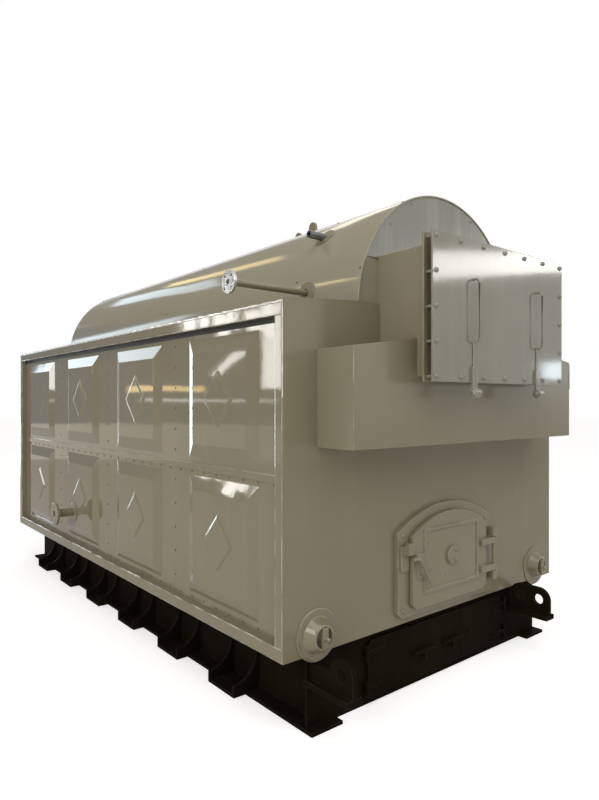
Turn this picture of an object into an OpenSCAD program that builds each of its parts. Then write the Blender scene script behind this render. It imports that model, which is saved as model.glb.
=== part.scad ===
// Horizontal packaged boiler, hand fired: painted casing with pressed side panels, half-round drum
// jacket, front smoke box with a bolted door, arched fire door and a black skid base with ash doors.
// +Z is up, -Y is the firing front, +X is the right-hand side seen from the front. Millimetres.
// The origin is on the floor, in the middle of the four anchor holes.

/* [Casing] */
// Width over the side trims
casing_w = 2260; // [2100:10:2600]
// Length from the front sheet to the rear sheet
casing_len = 4080; // [3900:10:4800]
// Height of the side walls
side_h = 1591; // [1520:1:1800]
// Rise of the front wall above the side walls
front_rise = 45; // [20:1:90]
// Thickness of the casing sheets
sheet_t = 6; // [3:0.5:10]
// Face width of the trim bars round each side
trim_w = 60; // [40:1:80]
// Depth of the trim bars
trim_d = 40; // [34:1:60]
// Thickness of the front and rear walls with their lining
wall_t = 120; // [80:5:180]

/* [Side panels] */
// Number of pressed panels in a row
panel_count = 4; // [3:1:4]
// Distance from one panel to the next
panel_pitch = 985; // [900:5:1000]
// Width of a pressed panel
panel_w = 660; // [560:5:760]
// Height of a pressed panel
panel_h = 640; // [560:5:650]
// Width of the bevel round a panel
panel_bevel = 76; // [50:1:100]
// Height of the panel's face above its sheet
panel_raise = 24; // [12:1:28]
// Width of the diamond on a panel
diamond_w = 286; // [200:2:340]
// Height of the diamond on a panel
diamond_h = 300; // [200:2:340]
// Height of the diamond above the panel's face
diamond_raise = 8; // [4:1:8]
// Bevel of the diamond's edge
diamond_bevel = 16; // [6:1:24]
// Height of the lap strip on the seam between the two rows
lap_h = 34; // [24:1:44]
// Thickness of the lap strip
lap_t = 4; // [2:0.5:6]

/* [Drum and jacket] */
// Outer radius of the jacket
jacket_r = 663; // [620:1:720]
// Thickness of the jacket
jacket_t = 8; // [4:1:12]
// Height of the drum's axis above the side walls
axis_rise = 20; // [0:1:40]
// Room between the pressure drum and the jacket's outside
drum_room = 63; // [50:1:90]
// Set-back of the jacket's end plates from its edge
end_setback = 10; // [9:1:30]
// Thickness of the end plates
end_t = 12; // [6:1:20]
// Thickness of the bright arch plate on the front
arch_t = 6; // [3:1:8]
// Lap of the arch plate behind the smoke box's top
arch_lap = 10; // [4:1:20]

/* [Smoke boxes] */
// Width of the upper smoke box
smoke_w = 1034; // [900:2:1100]
// Reach of the upper smoke box in front of the front wall
smoke_reach = 313; // [290:1:360]
// Height of the upper smoke box's top above the drum's axis
smoke_top = 265; // [220:1:300]
// Depth of the upper smoke box's nose below the drum's axis
smoke_nose = 345; // [300:1:345]
// Distance of the lower smoke box's ends from the casing's sides
breech_in = 197; // [140:1:260]
// Reach of the lower smoke box in front of the front wall
breech_reach = 237; // [200:1:260]
// Depth of the lower smoke box's floor below the drum's axis
breech_floor = 672; // [620:1:700]
// Depth of the lower smoke box's roof below the drum's axis
breech_roof = 165; // [140:1:190]
// Fall of the lower smoke box's roof towards its ends
breech_fall = 57; // [20:1:90]

/* [Smoke box door] */
// Width of the door and its flange
door_w = 1150; // [1140:2:1240]
// Height of the door and its flange
door_h = 682; // [640:2:760]
// Height of the door's centre below the drum's axis
door_drop = 31; // [0:1:60]
// Thickness of the door plate and of its flange
door_t = 10; // [6:1:16]
// Gap between the flange and the door plate
door_gap = 41; // [30:1:60]
// Inset of the door's packing frame from its edge
pack_inset = 62; // [50:1:90]
// Step from the packing frame to the door's rim
rim_step = 16; // [8:1:20]
// Radius of the studs round the door
stud_r = 7; // [5:0.5:9]
// Distance of the studs from the door's edge
stud_edge = 24; // [18:1:32]
// Studs along the top of the door
studs_wide = 7; // [5:1:9]
// Studs down the side of the door
studs_tall = 5; // [4:1:6]
// Distance between the two handles
handle_gap = 570; // [480:2:640]
// Length of a handle
handle_h = 325; // [260:1:400]
// Radius of the handle's bar
handle_r = 8; // [6:0.5:11]
// Reach of a handle from the door
handle_reach = 46; // [40:1:70]
// Height of the handles' middle above the door's centre
handle_rise = -6; // [-30:1:30]
// Width of a clamp strap
clamp_w = 34; // [26:1:44]
// Radius of a clamp's eye
clamp_eye_r = 24; // [18:1:30]
// Radius of the hole in a clamp's eye
clamp_hole_r = 11; // [8:1:13]
// Depth of a clamp's eye below the door's edge
clamp_drop = 52; // [48:1:70]
// Thickness of a clamp strap
clamp_t = 14; // [10:1:20]
// Lap of a clamp strap on the door
clamp_lap = 70; // [60:1:90]
// Distance of a clamp's slot from the strap's end
clamp_edge = 14; // [10:1:18]
// Height of the boss on a clamp's eye
clamp_boss = 4; // [2:0.5:6]

/* [Fire door] */
// Width of the cast frame
frame_w = 820; // [800:2:880]
// Height of the frame's foot above the casing's underside
frame_foot = 38; // [30:1:60]
// Straight height of the frame's sides
frame_side = 438; // [430:1:470]
// Rise of the frame's arch
frame_arch = 125; // [100:1:150]
// Cut at the lower corners of the frame and of the leaf
corner_cut = 28; // [16:1:36]
// Thickness of the frame
frame_t = 24; // [18:1:36]
// Inset of the door leaf from the frame's outline
leaf_inset = 85; // [70:1:90]
// Height of the leaf's foot above the frame's foot
leaf_foot = 35; // [30:1:50]
// Thickness of the leaf
leaf_t = 22; // [16:1:30]
// Running gap between the leaf and the frame
leaf_gap = 5; // [5:0.5:10]
// Inset of the firing mouth from the leaf's outline
mouth_inset = 70; // [60:1:90]
// Height of the lower hinge strap above the leaf's foot
strap_rise = 94; // [84:1:104]
// Height of the raised panel above the leaf's foot
plate_rise = 72; // [60:1:76]
// Height of the latch above the raised panel's middle
latch_rise = 30; // [10:1:50]
// Width of the raised panel on the leaf
plate_w = 480; // [420:2:540]
// Height of the raised panel on the leaf
plate_h = 338; // [300:2:360]
// Width of the raised panel's border
plate_border = 16; // [10:1:24]
// Height of the border above the leaf
border_raise = 7; // [4:0.5:12]
// Radius of the damper disc
damper_r = 49; // [40:1:60]
// Thickness of the damper disc
damper_t = 14; // [8:1:20]
// Distance of the hinge pin from the leaf's edge
hinge_out = 60; // [52:1:70]
// Radius of the hinge pin
pin_r = 11; // [9:0.5:13]
// Radius of the hinge knuckles
knuckle_r = 18; // [17:0.5:22]
// Thickness of the hinge straps
strap_t = 20; // [16:1:26]
// Height of a hinge strap
strap_h = 36; // [30:1:44]
// Distance between the two straps
strap_gap = 157; // [140:1:180]
// Height of the frame's hinge lugs
lug_h = 48; // [36:1:60]
// Radial clearance on the hinge pins
pin_clear = 0.08; // [0.04:0.01:0.1]
// End play between the hinge pieces
end_play = 5; // [5:0.5:8]

/* [Base] */
// Height of the base
base_h = 354; // [330:1:420]
// Set-in of the base's rails under the casing's sides
base_in = 140; // [110:5:180]
// Width of a rail's flanges
rail_w = 190; // [170:2:220]
// Thickness of a rail's flanges
flange_t = 16; // [12:1:22]
// Thickness of a rail's web
web_t = 12; // [8:1:18]
// Reach of the rails' toes in front of the casing
toe = 30; // [15:1:60]
// Reach of the rails behind the casing
heel = 20; // [0:1:40]
// Set-in of the base's front plate from the rails' outside
front_plate_in = 20; // [0:1:30]
// Set-back of the base's front plate from the casing's front
front_setback = 30; // [26:1:50]
// Thickness of the base's front and rear plates
plate_t = 12; // [8:1:16]
// Radius of the anchor holes
anchor_r = 13; // [9:1:16]
// Distance between the anchor holes along the base
anchor_pitch = 3600; // [3400:10:3700]
// Distance of the first outrigger foot behind the casing's front
foot_first = 620; // [500:5:640]
// Number of outrigger feet on a rail
foot_count = 6; // [4:1:6]
// Distance from one foot to the next
foot_pitch = 600; // [560:5:620]
// Length of a foot
foot_len = 250; // [200:5:280]
// Reach of a foot outside the rail
foot_reach = 70; // [50:1:100]
// Height of a foot's gussets
gusset_h = 186; // [150:1:210]
// Thickness of a foot's gussets
gusset_t = 14; // [10:1:20]

/* [Ash doors] */
// Width of the ash opening over both leaves
ash_w = 1170; // [1120:2:1220]
// Distance of the leaves' meeting line from the middle, to the right
ash_meet = 172; // [140:1:200]
// Height of the leaves' foot above the floor
ash_foot = 30; // [24:1:40]
// Height of the leaves
ash_h = 288; // [270:1:296]
// Thickness of a leaf
ash_t = 10; // [8:1:14]
// Radius of a leaf's upper corner
ash_corner = 40; // [20:1:60]
// Overlap of the leaves on the plate
ash_lap = 25; // [20:1:40]
// Gap between the two leaves, and between a leaf and the plate
ash_gap = 6; // [5:0.5:9]
// Radius of the ash hinge pins
ash_pin_r = 6; // [5:0.5:7]
// Radius of the ash hinge knuckles
ash_knuckle_r = 11; // [10:0.5:12]
// Height of an ash hinge
ash_hinge_h = 78; // [66:1:90]
// Distance between a leaf's two hinges
ash_hinge_gap = 170; // [160:1:180]

/* [Towing lugs] */
// Distance of the left lug from the casing's left side
lug_left_in = 185; // [180:1:200]
// Distance of the right lug from the casing's right side
lug_right_in = 460; // [410:1:480]
// Reach of a lug in front of the casing
lug_reach = 255; // [250:1:300]
// Thickness of a lug plate
lug_t = 20; // [14:1:26]
// Radius of a lug plate's rounded head
lug_head_r = 70; // [60:1:74]
// Height of a lug's eyes above its shelf
lug_eye_rise = 82; // [76:1:84]
// Distance between the two eyes of the right lug
lug_eye_pitch = 115; // [105:1:118]
// Radius of a lug's eyes
lug_eye_r = 30; // [24:1:36]
// Width of the shelf under a lug
shelf_w = 86; // [70:1:100]
// Height of the shelf's underside above the floor
shelf_z = 212; // [200:1:220]
// Thickness of the shelf
shelf_t = 26; // [18:1:30]

/* [Headers] */
// Distance of a header's middle from the casing's side
header_in = 195; // [180:1:220]
// Height of the header ends above the casing's underside
header_rise = 86; // [80:1:100]
// Radius of a header's cover ring
ring_r = 122; // [110:1:130]
// Thickness of a header's cover ring
ring_t = 6; // [4:1:10]
// Radius of a header's neck
neck_r = 76; // [66:1:86]
// Reach of a header's neck
neck_reach = 66; // [50:1:80]
// Height of the hand hole in a neck
eye_h = 96; // [80:1:104]
// Width of the hand hole in a neck
eye_w = 62; // [50:1:70]
// Depth of the hand hole
eye_depth = 44; // [30:1:46]

/* [Pipes] */
// Distance of the feed pipe behind the casing's front
feed_y = 410; // [300:5:600]
// Angle of the feed pipe's foot on the jacket, above the level of the axis
feed_angle = 10.4; // [8:0.1:13]
// Reach of the feed pipe beyond the jacket's side
feed_len = 487; // [400:1:540]
// Outer radius of the feed pipe
feed_r = 24; // [21:0.5:26]
// Bore radius of the feed pipe
feed_bore_r = 20; // [16:0.5:20]
// Radius of the feed flange
feed_flange_r = 75; // [70:1:80]
// Bolt circle of the feed flange
feed_pcd = 110; // [104:1:114]
// Thickness of the pipe flanges
pipe_flange_t = 18; // [14:1:24]
// Radius of the flanges' bolt holes
bolt_r = 9; // [7:0.5:10]
// Distance of the vent stub behind the casing's front
vent_y = 450; // [350:5:600]
// Angle of the vent stub's foot on the jacket, above the level of the axis
vent_angle = 43.3; // [38:0.1:48]
// Length of the vent stub beyond its foot
vent_len = 118; // [100:1:160]
// Outer radius of the vent stub
vent_r = 21; // [16:0.5:24]
// Bore radius of the vent stub
vent_bore_r = 16; // [10:0.5:18]
// Width of a cover ring round a pipe
cover_w = 40; // [30:1:50]
// Thickness of a cover ring
cover_t = 6; // [4:1:10]
// Distance of the drain stubs behind their panel's middle
drain_back = 124; // [120:1:140]
// Depth of the drain stubs below their panel's middle
drain_drop = 130; // [126:1:146]
// Reach of a drain stub from its panel
drain_reach = 150; // [120:1:180]
// Outer radius of a drain stub
drain_r = 30; // [28:0.5:34]
// Bore radius of a drain stub
drain_bore_r = 25; // [20:0.5:26]
// Radius of a drain flange
drain_flange_r = 82.5; // [78:0.5:90]
// Bolt circle of a drain flange
drain_pcd = 125; // [118:1:130]
// Width of the flue outlet inside
flue_w = 480; // [400:5:560]
// Height of the flue outlet inside
flue_h = 380; // [300:5:460]
// Height of the flue outlet's middle above the casing's underside
flue_rise = 620; // [540:5:700]
// Length of the flue outlet
flue_len = 150; // [120:5:200]
// Thickness of the flue outlet's wall
flue_t = 8; // [5:1:12]
// Width of the flue outlet's flange
flue_flange = 60; // [50:1:80]
// Distance of the crown lug behind the casing's front
crown_y = 1100; // [900:10:1400]
// Width of the crown lug
crown_w = 90; // [70:1:110]
// Thickness of the crown lug
crown_t = 16; // [10:1:24]
// Radius of the crown lug's eye
crown_eye_r = 15; // [10:1:18]

/* [Furnace] */
// Width of the furnace between its linings
furnace_w = 1040; // [980:10:1060]
// Length of the grate behind the front wall
grate_len = 1700; // [1400:10:2000]
// Width of a grate bar
bar_w = 34; // [26:1:40]
// Gap between the grate bars
bar_gap = 18; // [14:1:24]
// Height of a grate bar
bar_h = 40; // [30:1:50]
// Height of the grate's bearers
bearer_h = 40; // [30:1:50]
// Thickness of the bridge wall
bridge_t = 230; // [180:5:300]
// Height of the bridge wall above the casing's underside
bridge_h = 620; // [520:5:700]

/* [Hidden] */
$fn = 64;

paint = [0.47, 0.44, 0.36];
black = [0.05, 0.05, 0.05];
brick = [0.55, 0.42, 0.32];
iron = [0.25, 0.24, 0.23];
bright = [0.75, 0.74, 0.70];

y_front = -casing_len / 2;
y_rear = casing_len / 2;
casing_top = base_h + side_h;
front_top = casing_top + front_rise;
axis_z = casing_top + axis_rise;
sheet_x = casing_w / 2 - trim_d;
lining_x = sheet_x - sheet_t;
panel_x = sheet_x + panel_raise;
seam_z = base_h + side_h / 2;
row_h = side_h / 2 - trim_w;
seat = 0.3;
// a cutter runs past the face it cuts by this much
past = 1;

// what keeps its distance from the casing's sides
base_w = casing_w - 2 * base_in;
front_plate_w = base_w - 2 * front_plate_in;
breech_w = casing_w - 2 * breech_in;
header_gap = casing_w - 2 * header_in;
lug_left = casing_w / 2 - lug_left_in;
lug_right = casing_w / 2 - lug_right_in;

// jacket
drum_r = jacket_r - drum_room;
feed_rise = jacket_r * sin(feed_angle);
feed_reach = jacket_r + feed_len;
vent_rise = jacket_r * sin(vent_angle);
vent_reach = jacket_r * cos(vent_angle) + vent_len;
jacket_y = y_front + sheet_t;
end_y = jacket_y + end_setback;
arch_foot = smoke_top - arch_lap;
deck_clear = 10;

function panel_y(i) = (i - (panel_count - 1) / 2) * panel_pitch;

// frame and leaf of the fire door
frame_z = base_h + frame_foot;
leaf_w = frame_w - 2 * leaf_inset;
leaf_z = frame_z + leaf_foot;
leaf_shoulder = 25;
leaf_side = frame_side - leaf_foot - leaf_shoulder;
leaf_arch = frame_arch - 20;
mouth_w = leaf_w - 2 * mouth_inset;
mouth_z = leaf_z + mouth_inset / 2;
mouth_side = leaf_side - mouth_inset;
mouth_arch = leaf_arch - 30;
hole_margin = 15;
hole_x = mouth_w / 2 + hole_margin;
hole_z0 = mouth_z - hole_margin;
hole_z1 = mouth_z + mouth_side + mouth_arch + hole_margin;
leaf_back = -frame_t - leaf_gap;
leaf_face = leaf_back - leaf_t;
pin_x = leaf_w / 2 + hinge_out;
pin_y = leaf_face - strap_t / 2;
strap_z = leaf_z + strap_rise;
strap_tops = [strap_z, strap_z + strap_gap];
plate_z = leaf_z + plate_rise;
latch_z = plate_z + plate_h / 2 + latch_rise;
lug_low = strap_tops[0] - end_play - lug_h;
lug_top = strap_tops[1] + strap_h + end_play;
latch_inset = 17;
latch_x = latch_inset - leaf_w / 2;
latch_boss_r = 13.5;
pad_w = leaf_w / 2 - latch_inset - latch_boss_r - plate_w / 2 - seat;
pad_h = 126;
pad_z = latch_z - pad_h + latch_boss_r;
latch_stand = 10;
latch_front = leaf_face - border_raise - latch_stand;
lever_r = 8;
tongue_h = 30;
tongue_t = 12;
tongue_reach = 46;
keeper_w = 60;
keeper_h = 124;
keeper_t = 10;

// base
rail_x = base_w / 2 - rail_w / 2;
rail_in = base_w / 2 - rail_w;
front_plate_y = y_front + front_setback;
ash_x = ash_w / 2;
ash_open_x = ash_x - ash_lap;
ash_back = front_plate_y - ash_gap;
ash_face = ash_back - ash_t;
ash_strap_t = 8;
ash_side_gap = 5;
ash_pin_x = ash_x + ash_knuckle_r + ash_side_gap;
ash_pin_out = 2;
ash_pin_y = ash_face - ash_strap_t - ash_pin_out;
ash_third = ash_hinge_h / 3;
ash_play = 1;
ash_boss_r = 11;
ash_hinge_z = ash_foot + ash_h / 2 - ash_hinge_gap / 2;
ash_top = ash_foot + ash_h;

// smoke door
door_z = axis_z - door_drop;
flange_front = y_front - smoke_reach - door_t;
door_back = flange_front - door_gap;
door_face = door_back - door_t;

// room between a towing lug's web and what is above it
lug_clear = 6;

// furnace
grate_z = base_h + bearer_h / 2;
furnace_y = y_front + wall_t;

module box(x0, x1, y0, y1, z0, z1) {
  translate([x0, y0, z0]) cube([x1 - x0, y1 - y0, z1 - z0]);
}

// a flat outline in X and Z, run from y0 to y1
module along_y(y0, y1) {
  translate([0, y1, 0]) rotate([90, 0, 0]) linear_extrude(y1 - y0) children();
}

// a flat outline in Y and Z, run from x0 to x1
module along_x(x0, x1) {
  translate([x0, 0, 0]) rotate([90, 0, 90]) linear_extrude(x1 - x0) children();
}

module rod_x(x0, x1, y, z, r) {
  translate([x0, y, z]) rotate([0, 90, 0]) cylinder(h = x1 - x0, r = r);
}

module rod_y(x, y0, y1, z, r) {
  translate([x, y1, z]) rotate([90, 0, 0]) cylinder(h = y1 - y0, r = r);
}

module rod_z(x, y, z0, z1, r) {
  translate([x, y, z0]) cylinder(h = z1 - z0, r = r);
}

module both_sides() {
  children();
  mirror([1, 0, 0]) children();
}

// the jacket's outer surface, grown by a clearance
module jacket_core(grow) {
  rod_y(0, y_front - past, y_rear + past, axis_z, jacket_r + grow, $fn = 360);
}

// an outline with straight sides, a low arch on top and cut lower corners
module arch_outline(w, side, rise, cut) {
  arc_r = (w * w / 4 + rise * rise) / (2 * rise);
  polygon([
    [cut - w / 2, 0], [w / 2 - cut, 0], [w / 2, cut], [w / 2, side], [-w / 2, side], [-w / 2, cut]
  ]);
  intersection() {
    translate([0, side + rise - arc_r]) circle(arc_r, $fn = 128);
    translate([-w / 2, side]) square([w, rise]);
  }
}

// a long ridge with sloping sides, along local Y, rising along local Z
module ridge(w, bevel, rise, len) {
  rotate([90, 0, 0]) linear_extrude(len, center = true)
    polygon([[-w / 2, 0], [w / 2, 0], [w / 2 - bevel, rise], [bevel - w / 2, rise]]);
}

module pressed_panel() {
  intersection() {
    ridge(panel_w, panel_bevel, panel_raise, panel_h);
    rotate([0, 0, 90]) ridge(panel_h, panel_bevel, panel_raise, panel_w);
  }
}

module diamond() {
  turn = atan2(diamond_w, diamond_h);
  across = diamond_w * diamond_h / sqrt(pow(diamond_w, 2) + pow(diamond_h, 2));
  long = diamond_w + diamond_h;
  intersection() {
    rotate([0, 0, turn]) ridge(across, diamond_bevel, diamond_raise, long);
    rotate([0, 0, -turn]) ridge(across, diamond_bevel, diamond_raise, long);
  }
}

// one row of pressed panels on its sheet, on the right-hand side
module panel_row(z0) {
  box(lining_x, sheet_x, y_front + trim_w, y_rear - trim_w, z0, z0 + row_h);
  for (i = [0:panel_count - 1])
    translate([sheet_x, panel_y(i), z0 + row_h / 2]) rotate([90, 0, 90]) {
      pressed_panel();
      translate([0, 0, panel_raise]) diamond();
    }
}

module side_upper_sheets() {
  color(paint) both_sides() {
    panel_row(seam_z);
    box(sheet_x, sheet_x + lap_t, y_front + trim_w, y_rear - trim_w, seam_z - lap_h / 2, seam_z + lap_h / 2);
  }
}

module side_lower_sheets() {
  color(paint) both_sides() panel_row(seam_z - row_h);
}

module casing_rails() {
  color(paint) both_sides() {
    box(lining_x, casing_w / 2, y_front + sheet_t, y_rear - sheet_t, base_h, base_h + trim_w);
    box(lining_x, casing_w / 2, y_front + sheet_t, y_rear - sheet_t, casing_top - trim_w, casing_top);
  }
}

module casing_posts() {
  color(paint) both_sides() {
    box(lining_x, casing_w / 2, y_front + sheet_t, y_front + trim_w, base_h + trim_w, casing_top - trim_w);
    box(lining_x, casing_w / 2, y_rear - trim_w, y_rear - sheet_t, base_h + trim_w, casing_top - trim_w);
  }
}

// the front wall is a full-width sheet with a lining behind it that stops at the side walls
module front_slab(x0, x1, z0, z1) {
  box(x0, x1, y_front, y_front + sheet_t, z0, z1);
  box(max(x0, -lining_x), min(x1, lining_x), y_front, furnace_y, z0, min(z1, casing_top - sheet_t));
}

module front_wall_left() {
  color(paint) front_slab(-casing_w / 2, -hole_x, hole_z0, hole_z1);
}

module front_wall_right() {
  color(paint) front_slab(hole_x, casing_w / 2, hole_z0, hole_z1);
}

module front_wall_over() {
  color(paint) front_slab(-casing_w / 2, casing_w / 2, hole_z1, front_top);
}

module front_wall_sill() {
  color(paint) front_slab(-casing_w / 2, casing_w / 2, base_h, hole_z0);
}

module rear_wall() {
  color(paint) difference() {
    union() {
      box(-casing_w / 2, casing_w / 2, y_rear - sheet_t, y_rear, base_h, casing_top);
      box(-lining_x, lining_x, y_rear - wall_t, y_rear, base_h, casing_top - sheet_t);
    }
    box(-flue_w / 2, flue_w / 2, y_rear - wall_t - past, y_rear + past,
        base_h + flue_rise - flue_h / 2, base_h + flue_rise + flue_h / 2);
  }
}

module furnace_linings() {
  color(brick) both_sides() difference() {
    box(furnace_w / 2, lining_x, furnace_y, y_rear - wall_t, base_h, casing_top - sheet_t);
    rod_y(0, y_front, y_rear, axis_z, drum_r + seat);
  }
}

module bridge_wall() {
  color(brick) box(-furnace_w / 2, furnace_w / 2, furnace_y + grate_len,
                   furnace_y + grate_len + bridge_t, base_h, base_h + bridge_h);
}

module grate() {
  pitch = bar_w + bar_gap;
  half_count = floor((furnace_w / 2 - bar_w / 2) / pitch);
  color(iron) {
    for (i = [-half_count:half_count])
      box(i * pitch - bar_w / 2, i * pitch + bar_w / 2, furnace_y, furnace_y + grate_len,
          grate_z, grate_z + bar_h);
    for (share = [0.12, 0.5, 0.88])
      box(-furnace_w / 2, furnace_w / 2, furnace_y + share * grate_len - bearer_h,
          furnace_y + share * grate_len + bearer_h, grate_z - bearer_h, grate_z);
    for (side = [-1, 1])
      box(side * furnace_w / 2 - (side > 0 ? bar_w : 0), side * furnace_w / 2 + (side < 0 ? bar_w : 0),
          furnace_y, furnace_y + grate_len, grate_z - bearer_h, grate_z);
  }
}

module top_decks() {
  color(paint) both_sides()
    box(drum_r + deck_clear, lining_x, y_front + sheet_t, y_rear - sheet_t, casing_top - sheet_t, casing_top);
}

module drum() {
  color(iron) rod_y(0, furnace_y, y_rear - wall_t, axis_z, drum_r);
}

module drum_jacket() {
  color(paint) along_y(jacket_y, y_rear) difference() {
    translate([0, axis_z]) circle(jacket_r, $fn = 128);
    translate([0, axis_z]) circle(jacket_r - jacket_t, $fn = 128);
    translate([-jacket_r - past, casing_top - 2 * jacket_r])
      square([2 * (jacket_r + past), 2 * jacket_r]);
  }
}

// the part of the jacket's inside above a given height, as a flat outline
module jacket_inside(z0) {
  intersection() {
    translate([0, axis_z]) circle(jacket_r - jacket_t - seat, $fn = 128);
    translate([-jacket_r, z0]) square([2 * jacket_r, jacket_r + axis_z - z0]);
  }
}

module jacket_end_front() {
  color(paint) along_y(end_y, end_y + end_t) jacket_inside(front_top);
}

module arch_plate() {
  color(bright) along_y(end_y - arch_t, end_y) jacket_inside(axis_z + arch_foot);
}

module jacket_end_rear() {
  color(paint) along_y(y_rear - end_setback - end_t, y_rear - end_setback) jacket_inside(casing_top);
}

module lower_smoke_box() {
  roof_z = axis_z - breech_roof;
  color(paint) along_y(y_front - breech_reach, y_front) polygon([
    [-breech_w / 2, axis_z - breech_floor], [breech_w / 2, axis_z - breech_floor],
    [breech_w / 2, roof_z - breech_fall], [smoke_w / 2, roof_z],
    [-smoke_w / 2, roof_z], [-breech_w / 2, roof_z - breech_fall]
  ]);
}

module smoke_box() {
  color(paint) along_x(-smoke_w / 2, smoke_w / 2) polygon([
    [y_front, axis_z - breech_roof], [y_front, front_top], [end_y, front_top],
    [end_y, axis_z + arch_foot], [end_y - arch_t, axis_z + arch_foot],
    [end_y - arch_t, axis_z + smoke_top], [y_front - smoke_reach, axis_z + smoke_top], [y_front - smoke_reach, axis_z - smoke_nose],
    [y_front - breech_reach, axis_z - smoke_nose], [y_front - breech_reach, axis_z - breech_roof]
  ]);
}

module door_slab(inset, y0, y1) {
  box(inset - door_w / 2, door_w / 2 - inset, y0, y1,
      door_z - door_h / 2 + inset, door_z + door_h / 2 - inset);
}

module smoke_box_flange() {
  color(paint) door_slab(0, flange_front, flange_front + door_t);
}

module smoke_door_packing() {
  color(iron) {
    door_slab(pack_inset, door_back, flange_front);
    door_slab(pack_inset - rim_step, door_back, door_back + rim_step);
  }
}

module smoke_door() {
  color(bright) door_slab(0, door_face, door_back);
}

module smoke_door_studs() {
  wide = door_w - 2 * stud_edge;
  tall = door_h - 2 * stud_edge;
  color(iron) {
    for (i = [0:studs_wide - 1], side = [-1, 1])
      rod_y(wide * (i / (studs_wide - 1) - 0.5), door_back, flange_front, door_z + side * tall / 2, stud_r);
    for (i = [1:studs_tall - 2], side = [-1, 1])
      rod_y(side * wide / 2, door_back, flange_front, door_z + tall * (i / (studs_tall - 1) - 0.5), stud_r);
  }
}

module smoke_door_handles() {
  y = door_face - handle_reach;
  middle = door_z + handle_rise;
  color(iron) for (side = [-1, 1]) {
    x = side * handle_gap / 2;
    rod_z(x, y, middle - handle_h / 2, middle + handle_h / 2, handle_r);
    for (end = [-1, 1]) {
      translate([x, y, middle + end * handle_h / 2]) sphere(handle_r);
      rod_y(x, y, door_face, middle + end * handle_h / 2, handle_r);
    }
  }
}

// a slotted strap on the door's foot with an eye below it
module smoke_door_clamps() {
  foot_z = door_z - door_h / 2;
  eye_z = foot_z - clamp_drop;
  color(iron) for (side = [-1, 1]) {
    x = side * handle_gap / 2;
    difference() {
      union() {
        box(x - clamp_w / 2, x + clamp_w / 2, door_face - clamp_t, door_face, eye_z, foot_z + clamp_lap);
        rod_y(x, door_face - clamp_t - clamp_boss, door_face + clamp_boss, eye_z, clamp_eye_r);
      }
      rod_y(x, door_face - clamp_t - clamp_boss - past, door_face + clamp_boss + past, eye_z, clamp_hole_r);
      box(x - clamp_w / 6, x + clamp_w / 6, door_face - clamp_t - past, door_face + past,
          foot_z - clamp_edge, foot_z + clamp_lap - clamp_edge);
    }
  }
}

// a pointed oval, taller than wide, as a flat outline
module oval(w, h) {
  r = (h * h / 4 + w * w / 4) / w;
  intersection() {
    translate([r - w / 2, 0]) circle(r, $fn = 96);
    translate([w / 2 - r, 0]) circle(r, $fn = 96);
  }
}

module header_ends() {
  lip = 8;
  color(paint) for (side = [-1, 1])
    translate([side * header_gap / 2, y_front, base_h + header_rise]) rotate([90, 0, 0]) difference() {
      rotate_extrude() polygon([
        [0, 0], [ring_r, 0], [ring_r, ring_t], [neck_r + lip, ring_t], [neck_r, ring_t + lip],
        [neck_r, neck_reach - 2 * lip], [neck_r - lip, neck_reach - lip / 2],
        [neck_r - 2 * lip, neck_reach], [0, neck_reach]
      ]);
      translate([0, 0, neck_reach - eye_depth]) linear_extrude(eye_depth + past) oval(eye_w, eye_h);
    }
}

module header_yokes() {
  plug_t = 14;
  yoke_h = 22;
  yoke_t = 12;
  yoke_half = neck_r * 0.62;
  stem_r = 9;
  stem_out = 26;
  color(paint) for (side = [-1, 1])
    translate([side * header_gap / 2, y_front, base_h + header_rise]) rotate([90, 0, 0]) {
      translate([0, 0, neck_reach - eye_depth]) cylinder(h = eye_depth, r = stem_r);
      translate([0, 0, neck_reach - eye_depth]) linear_extrude(plug_t) oval(eye_w * 0.6, eye_h * 0.8);
      translate([-yoke_half, -yoke_h / 2, neck_reach]) cube([2 * yoke_half, yoke_h, yoke_t]);
      translate([0, 0, neck_reach]) cylinder(h = stem_out, r = stem_r);
    }
}

module frame_profile() {
  arch_outline(frame_w, frame_side, frame_arch, corner_cut);
}

module fire_door_frame() {
  color(paint) difference() {
    union() {
      translate([0, 0, frame_z]) along_y(y_front - frame_t, y_front) difference() {
        frame_profile();
        translate([0, mouth_z - frame_z]) arch_outline(mouth_w, mouth_side, mouth_arch, corner_cut / 2);
      }
      for (z = [lug_low, lug_top]) {
        rod_z(pin_x, y_front + pin_y, z, z + lug_h, knuckle_r);
        box(pin_x - knuckle_r, pin_x + knuckle_r, y_front + pin_y, y_front - frame_t, z, z + lug_h);
      }
    }
    rod_z(pin_x, y_front + pin_y, lug_low - past, lug_top + lug_h + past, pin_r + pin_clear);
  }
}

module fire_door_pin() {
  high = lug_top + lug_h;
  head_h = 8;
  head_lip = 4;
  color(iron) {
    rod_z(pin_x, y_front + pin_y, lug_low, high, pin_r);
    rod_z(pin_x, y_front + pin_y, high, high + head_h, pin_r + head_lip);
  }
}

// outline of the leaf's raised panel, with a pad towards the latch
module border_outline(inset) {
  translate([inset - plate_w / 2, plate_z + inset]) square([plate_w - 2 * inset, plate_h - 2 * inset]);
  translate([inset - plate_w / 2 - pad_w, pad_z + inset]) square([plate_w / 2, pad_h - 2 * inset]);
}

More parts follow.
